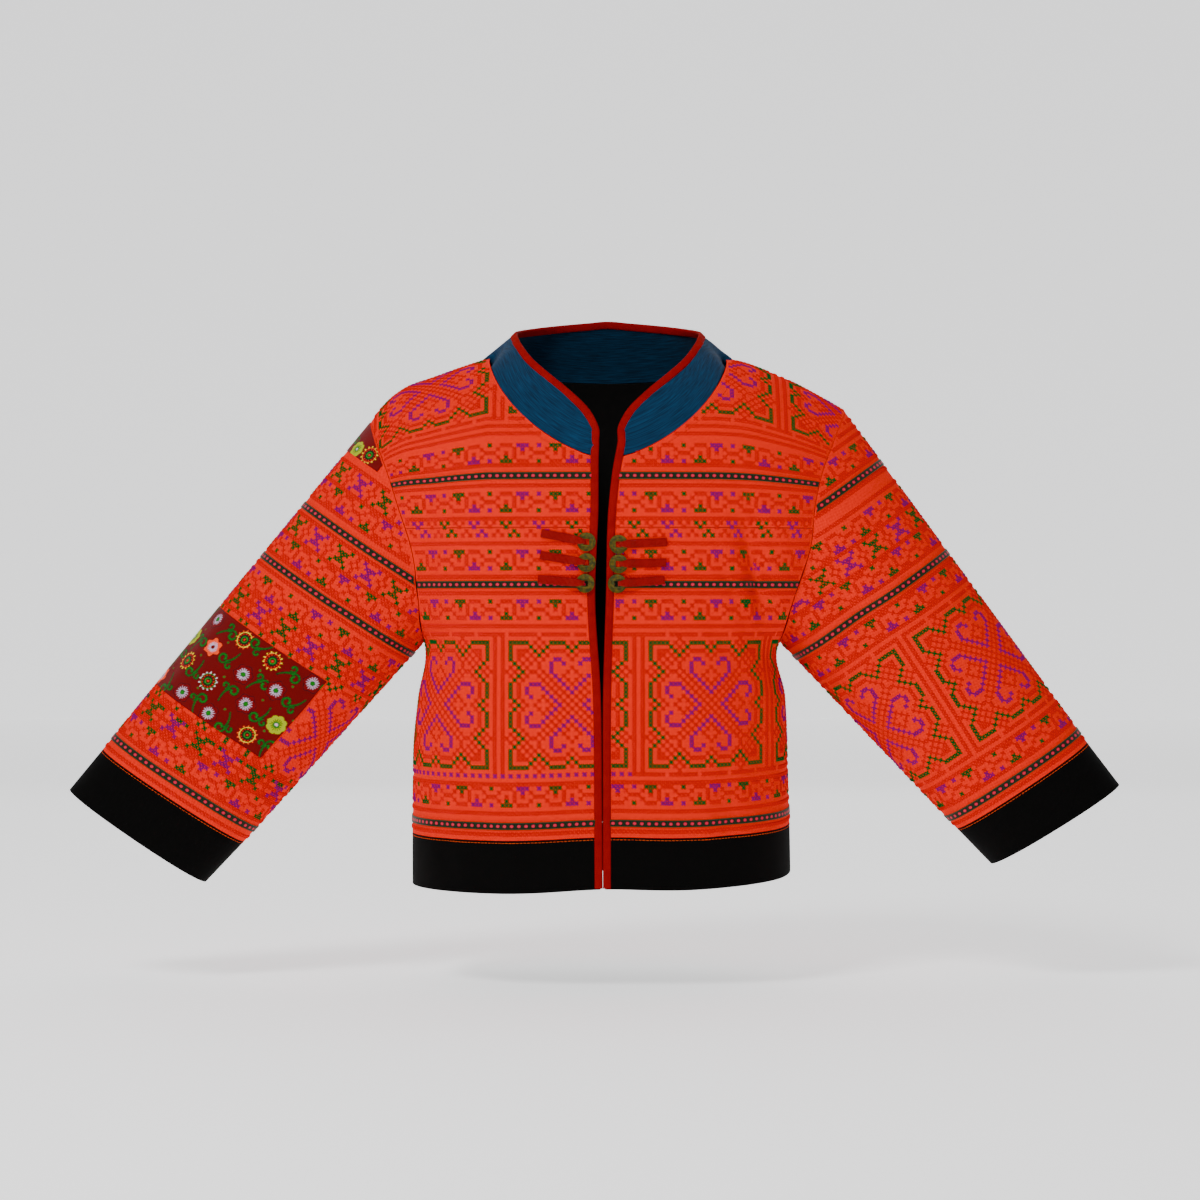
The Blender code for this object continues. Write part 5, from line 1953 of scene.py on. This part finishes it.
def square_to(path: Array, lean: Array) -> Array:
    """Unit directions square to a path, near the ones given.

    Args:
        path: points along the path, a row each.
        lean: directions to stay near.

    Returns:
        A unit direction for each point.
    """
    tangent = np.gradient(path, axis=0)
    tangent = unit(tangent)
    square = lean - np.sum(lean * tangent, axis=1, keepdims=True) * tangent
    return unit(square)


class Collar:
    """Indigo stand collar and the scarlet binding round every open edge."""

    def __init__(self, form: BodyForm, sizes: CollarSizes) -> None:
        """Find the stations round the neck.

        Args:
            form: the body's surface.
            sizes: the collar's sizes.
        """
        self.form, self.sizes = form, sizes
        even = np.linspace(sizes.start / 3, 1.0, 13)
        shares = sorted(set(np.round(even, 4)) | {sizes.rows[1][0], sizes.rows[5][0]})
        self.stations = [(Side.RIGHT, share) for share in shares]
        self.stations += [(Side.LEFT, share) for share in reversed(shares[:-1])]

    def base(self, side: Side, share: float) -> Array:
        """Point of the neckline.

        Args:
            side: side of the wearer.
            share: share from centre front to centre back.

        Returns:
            The point.
        """
        out, z = (float(read(self.sizes.rows, column, share)) for column in (1, 2))
        x = self.form.sizes.neck_x + side.value * out
        corner = self.sizes.rows[5][0]
        face = Face.FRONT if share < corner else Face.BACK
        y = 0.0 if abs(share - corner) < 1e-6 else float(self.form.depth(face, np.array(x), np.array(z)))
        return np.array((x, y, z))

    def top(self, side: Side, share: float) -> Array:
        """Point of the upper edge."""
        out, y, z = (float(read(self.sizes.rows, column, share)) for column in (3, 4, 5))
        return np.array((self.form.sizes.neck_x + side.value * out, y, z))

    def grid(self) -> Array:
        """Outer points, rows from the neckline up and columns round the neck.

        Returns:
            The points.
        """
        base = np.array([self.base(*station) for station in self.stations])
        top = np.array([self.top(*station) for station in self.stations])
        away = unit(top - base)
        tuck = 7.0 * np.exp(-((np.array([share for _, share in self.stations]) - 0.53) / 0.08) ** 2)
        base, top = base + away * (0.2 - tuck)[:, None], top + square_to(top, base - top) * 2.4
        middle = (base + top) / 2
        out = middle - np.array((self.form.sizes.neck_x, 0.0, -30.0))
        out[:, 2] = 0.0
        middle = middle + unit(out) * 2.0
        base, middle, top = (refine(row, 150) for row in (base, middle, top))
        t = np.linspace(0.0, 1.0, 12)[:, None, None]
        return base * (1 - t) * (1 - 2 * t) + middle * 4 * t * (1 - t) + top * t * (2 * t - 1)

    def build(self) -> None:
        """Make the collar's outer cloth, its inner facing and the binding."""
        grid = self.grid()
        across, up = np.gradient(grid, axis=1), np.gradient(grid, axis=0)
        normal = np.cross(up, across)
        normal = unit(normal)
        run = np.cumsum(np.linalg.norm(across, axis=2), axis=1)
        rise = np.cumsum(np.linalg.norm(up, axis=2), axis=0)
        uv = np.stack((run, rise), axis=-1)
        ripple = 0.5 * np.sin(run / 17.0) * np.sin(rise / 9.0)
        outer = grid + normal * ripple[..., None]
        collar = shell("collar_cloth", outer, outer - normal * 0.8, uv, (INDIGO,))
        cloth_piece(declare(collar, ["collar"]))
        behind = outer - normal * 0.9
        drop = behind[0] - behind[1]
        behind[0] += unit(drop) * 3.0 - normal[0] * 1.2
        # the facing takes the darker indigo, painted shade inside the collar
        facing = shell("collar_facing", behind, behind - normal * 0.7, uv, (INDIGO_SHADED,))
        cloth_piece(declare(facing))
        self.bind()

    def edge_path(self) -> Tuple[Array, Array, Array]:
        """Path of the bound edge, with its inward and outward directions.

        Returns:
            Points, inward and outward directions.
        """
        sizes, form = self.form.sizes, self.form
        levels = [level for level in np.arange(sizes.hem_z + 1.0, self.sizes.rows[0][2] - 4.0, 6.0)]
        parts, inwards, outs = [], [], []
        for side in Side:
            points, steps = [], []
            for level in levels:
                x = form.inner_x(side, level)
                pair = form.point(Face.FRONT, np.array((level, level)), np.array((x, x + side.value * 12.0)))
                points.append(pair[0])
                steps.append(pair[1] - pair[0])
            points.append(self.top(side, 0.0))
            steps.append(np.array((side.value, 0.0, 0.0)))
            facings = [(0.0, -1.0, 0.1)] * len(points)
            if side is Side.LEFT:
                points, steps = points[::-1], steps[::-1]
            parts.append(points)
            inwards.append(steps)
            outs.append(facings)
        stations = [pair for pair in self.stations if pair[1] > self.sizes.start]
        tops = [self.top(*pair) for pair in stations]
        downs = [self.base(*pair) - top for pair, top in zip(stations, tops)]
        away = [(top[0] - sizes.neck_x, top[1] * 1.2, 12.0) for top in tops]
        groups = (inwards[0] + downs + inwards[1], outs[0] + away + outs[1])
        ways = [unit(np.array(group, dtype=float)) for group in groups]
        path = np.array(parts[0] + tops + parts[1])
        joined = refine(np.concatenate((path, ways[0] * 20.0, ways[1] * 20.0), axis=1), 420)
        path = joined[:, :3]
        inward = square_to(path, joined[:, 3:6])
        out = square_to(path, joined[:, 6:9])
        out -= np.sum(out * inward, axis=1, keepdims=True) * inward
        return path, inward, unit(out)

    def bind(self) -> None:
        """Fold the binding over the edges."""
        path, inward, out = self.edge_path()
        turn = np.linspace(0.0, 2 * math.pi, 17)[:-1]
        wide, thick = self.sizes.binding / 2 + 0.3, 2.0
        across = wide + wide * np.sign(np.cos(turn)) * np.abs(np.cos(turn)) ** 0.55 - 0.6
        lift = thick * np.sign(np.sin(turn)) * np.abs(np.sin(turn)) ** 0.6 - 0.6
        pucker = 0.12 * np.sin(np.arange(len(path)) * 1.7)
        points = (path[None, :, :] + inward[None, :, :] * across[:, None, None]
                  + out[None, :, :] * (lift[:, None] + pucker[None, :] * (lift > -0.5)[:, None])[..., None])
        run = run_along(path)
        ring, count = len(turn), len(path)
        faces, uv = [], []
        girth = np.linspace(0.0, 15.0, ring + 1)
        for i in range(ring):
            k = (i + 1) % ring
            for j in range(count - 1):
                faces.append((i * count + j, k * count + j, k * count + j + 1, i * count + j + 1))
                uv += [(run[j], girth[i]), (run[j], girth[i + 1]), (run[j + 1], girth[i + 1]),
                       (run[j + 1], girth[i])]
        for j, flip in ((0, True), (count - 1, False)):
            cap = [i * count + j for i in range(ring)]
            faces.append(tuple(cap[::-1] if flip else cap))
            uv += [(run[j] + 0.01 * i, girth[i]) for i in range(ring)]
        flat = points.reshape(-1, 3)
        a, b, c = (flat[faces[0][n]] for n in range(3))
        if np.dot(np.cross(b - a, c - a), a - path[0] - inward[0] * wide) < 0:
            faces = [face[::-1] for face in faces]
        made = build_mesh("edge_binding_cotton", flat, faces, [BINDING], np.array(uv))
        declare(made, ["edge_binding"])


# ---------------------------------------------------------------- fasteners
@dataclass(frozen=True)
class Fastener:
    """One coin and its strap: coin middle and strap tail as X and Z, and its height above the cloth."""

    side: Side
    row: int
    coin: Pair
    tail: Pair
    seat: float = 1.0


FASTENERS = (
    Fastener(Side.RIGHT, 1, (-15.2, -186.0), (-58.5, -177.5)),
    Fastener(Side.RIGHT, 2, (-15.2, -206.0), (-59.5, -198.7)),
    Fastener(Side.RIGHT, 3, (-16.4, -226.0), (-61.5, -221.8), 2.6),
    Fastener(Side.LEFT, 1, (16.0, -188.4), (62.5, -186.2)),
    Fastener(Side.LEFT, 2, (16.0, -207.3), (61.5, -206.0)),
    Fastener(Side.LEFT, 3, (14.6, -226.3), (60.0, -222.8), 2.6),
)


@dataclass(frozen=True)
class CoinSizes:
    """A cast coin with a square hole."""

    radius: float = 9.1
    thick: float = 1.5
    hole: float = 5.6
    rim: float = 1.3
    sunk: float = 0.4
    bevel: float = 0.18


class Fasteners:
    """Coins on folded straps down each front edge."""

    STRAP_WIDTH = 8.2
    STRAP_WALL = 1.4

    def __init__(self, form: BodyForm, sizes: CoinSizes) -> None:
        """Keep the cloth they are sewn to and the coin's sizes."""
        self.form, self.sizes = form, sizes

    def frame(self, x: float, z: float) -> Tuple[Array, Array]:
        """Point and outward normal of the front cloth.

        Args:
            x: X of the points.
            z: height.

        Returns:
            A point and the outward direction.
        """
        def at(px: float, pz: float) -> Array:
            """Point of the front."""
            return np.array((px, float(self.form.depth(Face.FRONT, np.array(px), np.array(pz))), pz))
        normal = np.cross(at(x + 4, z) - at(x - 4, z), at(x, z + 4) - at(x, z - 4))
        return at(x, z), normal / np.linalg.norm(normal)

    def strap(self, one: Fastener) -> None:
        """Strap sewn down, over the coin's rim and into its hole.

        Args:
            one: what is made, with its sizes and place.
        """
        coin, tail = np.array(one.coin), np.array(one.tail)
        length = float(np.linalg.norm(coin - tail))
        way = (coin - tail) / length
        side = np.array((-way[1], way[0]))
        if one.side is Side.LEFT:
            side = -side
        rim, seat, width, hole = length - self.sizes.radius, one.seat, self.STRAP_WIDTH, self.sizes.hole
        profile = ((0.0, seat, width), ((rim - 7.0) / 2, seat, width), (rim - 7.0, seat, width),
                   (rim - 1.5, seat + 2.3, width - 0.4), (rim + 2.0, seat + 2.5, width - 1.0),
                   (length - hole / 2 - 0.4, seat + 2.3, hole - 0.6), (length - 0.6, seat + 0.6, hole - 0.9))
        along = np.linspace(0.0, profile[-1][0], 60)
        outer, inner = np.empty((9, 60, 3)), np.empty((9, 60, 3))
        shares = np.linspace(-1.0, 1.0, 9)
        for j, run in enumerate(along):
            lift, wide = float(read(profile, 1, run)), float(read(profile, 2, run))
            for i, share in enumerate(shares):
                x, z = tail + way * run + side * (share * wide / 2)
                point, normal = self.frame(x, z)
                round_off = 0.45 * share ** 4 + 0.12 * math.sin(run * 1.1 + i)
                outer[i, j] = point + normal * (lift + self.STRAP_WALL - round_off)
                inner[i, j] = point + normal * lift
        uv = np.stack(np.broadcast_arrays(along[None, :], (shares * width / 2)[:, None]), axis=-1)
        if one.side is Side.LEFT:
            outer, inner, uv = outer[:, ::-1], inner[:, ::-1], uv[:, ::-1]
        node = f"strap_{one.side.word}_{one.row}"
        made = declare(shell(f"{node}_cotton", outer, inner, uv, (STRAP,)), [node])
        self.strap_stitches(node, outer)

    def strap_stitches(self, node: str, outer: Array) -> None:
        """Running stitches along both edges of a strap.

        Args:
            node: the CAD node it stands for.
            outer: points of the strap's outer face.
        """
        for row, name in ((1, "a"), (7, "b")):
            line = outer[row, 3:50:4]
            along = np.gradient(line, axis=0)
            along = unit(along)
            normal = np.cross(along, outer[7, 3:50:4] - outer[1, 3:50:4])
            normal = unit(normal)
            normal = np.where(normal[:, 1:2] > 0, -normal, normal)
            beside = np.cross(normal, along) * 0.28
            made = strands(f"{node}_stitches_{name}", line, along, beside, normal, np.full(len(line), 0.25),
                           STRAP)
            declare(made)

    def coin(self, one: Fastener) -> None:
        """Coin with a raised rim round its edge and its hole, and four plain marks.

        Args:
            one: what is made, with its sizes and place.
        """
        sizes = self.sizes
        name = f"coin_{one.side.word}_{one.row}"
        bpy.ops.object.select_all(action="DESELECT")
        bpy.ops.mesh.primitive_cylinder_add(vertices=72, radius=sizes.radius * MM, depth=sizes.thick * MM)
        body = bpy.context.active_object
        body.name = f"{name}_brass"
        bpy.ops.object.mode_set(mode="EDIT")
        bpy.ops.mesh.select_all(action="DESELECT")
        bpy.ops.object.mode_set(mode="OBJECT")
        for polygon in body.data.polygons:
            polygon.select = abs(polygon.normal.z) > 0.9
        bpy.ops.object.mode_set(mode="EDIT")
        bpy.ops.mesh.select_mode(type="FACE")
        bpy.ops.mesh.inset(thickness=sizes.rim * MM, depth=-sizes.sunk * MM, use_individual=True)
        bpy.ops.object.mode_set(mode="OBJECT")
        frame = sizes.hole + 2.0
        self._join(body, (frame, frame, sizes.thick), (0.0, 0.0), "UNION")
        for turn in range(4):
            reach = 5.9
            place = (reach * math.cos(turn * math.pi / 2), reach * math.sin(turn * math.pi / 2))
            size = (1.0, 3.0) if turn % 2 == 0 else (3.0, 1.0)
            self._join(body, (*size, sizes.thick - 0.3), place, "UNION")
        self._join(body, (sizes.hole, sizes.hole, 9.0), (0.0, 0.0), "DIFFERENCE")
        self._apply(body, "BEVEL", width=sizes.bevel * MM, segments=2, limit_method="ANGLE",
                    angle_limit=math.radians(35))
        point, normal = self.frame(*one.coin)
        middle = point + normal * (one.seat + sizes.thick / 2)
        turned = Vector(normal).to_track_quat("Z", "X").to_matrix().to_4x4()
        turned.translation = Vector(middle) * MM
        body.data.transform(turned)
        body.data.materials.append(bpy.data.materials.get(BRASS.name) or BRASS.material())
        bpy.ops.object.select_all(action="DESELECT")
        body.select_set(True)
        bpy.context.view_layer.objects.active = body
        bpy.ops.object.shade_smooth_by_angle(angle=math.radians(35))
        declare(body, [name])

    def _join(self, body: Obj, size: Triple, place: Pair,
              operation: str) -> None:
        """Add or cut a square block on a coin.

        Args:
            body: the coin.
            size: the block's sizes.
            place: its middle on the coin.
            operation: UNION or DIFFERENCE.
        """
        bpy.ops.object.select_all(action="DESELECT")
        bpy.ops.mesh.primitive_cube_add(size=1.0, location=(place[0] * MM, place[1] * MM, 0.0),
                                        scale=tuple(value * MM for value in size))
        block = bpy.context.active_object
        self._apply(body, "BOOLEAN", operation=operation, object=block, solver="EXACT")
        bpy.data.objects.remove(block, do_unlink=True)

    def _apply(self, body: Obj, kind: str, **settings) -> None:
        """Add a modifier to a coin and apply it.

        Args:
            body: the coin.
            kind: kind of modifier.
            **settings: the modifier's settings.
        """
        modifier = body.modifiers.new(kind.lower(), kind)
        for key, value in settings.items():
            setattr(modifier, key, value)
        bpy.ops.object.select_all(action="DESELECT")
        body.select_set(True)
        bpy.context.view_layer.objects.active = body
        bpy.ops.object.modifier_apply(modifier=modifier.name)

    def build(self) -> None:
        """Make every strap and coin."""
        for one in FASTENERS:
            self.strap(one)
            self.coin(one)


# ---------------------------------------------------------------- studio
class Studio:
    """Pale floor, soft light and the camera."""

    def build(self) -> None:
        """Set the scene."""
        bpy.ops.object.select_all(action="DESELECT")
        bpy.ops.mesh.primitive_plane_add(size=30.0, location=(0.0, 0.0, -0.62))
        floor = bpy.context.active_object
        floor.name = "floor"
        paper = bpy.data.materials.new("pale_paper")
        paper.use_nodes = True
        shader = paper.node_tree.nodes["Principled BSDF"]
        shader.inputs["Base Color"].default_value = srgb("#E9E9EA")
        shader.inputs["Roughness"].default_value = 0.95
        bpy.ops.mesh.primitive_plane_add(size=30.0, location=(0.0, 7.0, 0.0),
                                         rotation=(math.pi / 2, 0.0, 0.0))
        wall = bpy.context.active_object
        wall.name = "backdrop"
        shader.inputs["Emission Color"].default_value = srgb("#F4F4F4")
        shader.inputs["Emission Strength"].default_value = 0.9
        for piece in (floor, wall):
            piece.data.materials.append(paper)
        world = bpy.data.worlds.new("soft_room")
        world.use_nodes = True
        world.node_tree.nodes["Background"].inputs[0].default_value = srgb("#F0F0F1")
        world.node_tree.nodes["Background"].inputs[1].default_value = 0.2
        bpy.context.scene.world = world
        self._light("key", (-1.4, -2.3, 2.4), 1.0, 104.0)
        self._light("fill", (2.2, -2.6, 0.6), 2.0, 7.0)
        self._light("top", (0.2, 0.6, 2.4), 2.4, 16.0)
        self._light("rim", (0.0, 2.8, 0.9), 2.4, 8.0)
        lens = bpy.data.cameras.new("front_camera")
        lens.lens, lens.sensor_width = 96.0, 36.0
        camera = bpy.data.objects.new("front_camera", lens)
        camera.location = (-0.002, -3.2, -0.242)
        camera.rotation_euler = (math.pi / 2, 0.0, 0.0)
        bpy.context.scene.collection.objects.link(camera)
        bpy.context.scene.camera = camera

    def _light(self, name: str, place: Triple, size: float, power: float) -> None:
        """Soft square light turned to the jacket.

        Args:
            name: name of the piece.
            place: where it stands, in metres.
            size: its width in metres.
            power: its power in watts.
        """
        lamp = bpy.data.lights.new(name, "AREA")
        lamp.size, lamp.energy = size, power
        obj = bpy.data.objects.new(name, lamp)
        obj.location = place
        obj.rotation_euler = (Vector((0.0, 0.0, -0.25)) - Vector(place)).to_track_quat("-Z", "Y").to_euler()
        bpy.context.scene.collection.objects.link(obj)


def main() -> None:
    """Build the jacket round its frame."""
    logging.basicConfig(level=logging.INFO, format="%(name)s %(message)s")
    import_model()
    form = BodyForm(BodySizes())
    Body(form).build()
    for side in Side:
        sleeve = Sleeve(form, side)
        sleeve.build()
        if side is Side.RIGHT:
            Patches(sleeve).build()
    Collar(form, CollarSizes()).build()
    Fasteners(form, CoinSizes()).build()
    Studio().build()


if __name__ == "__main__":
    main()
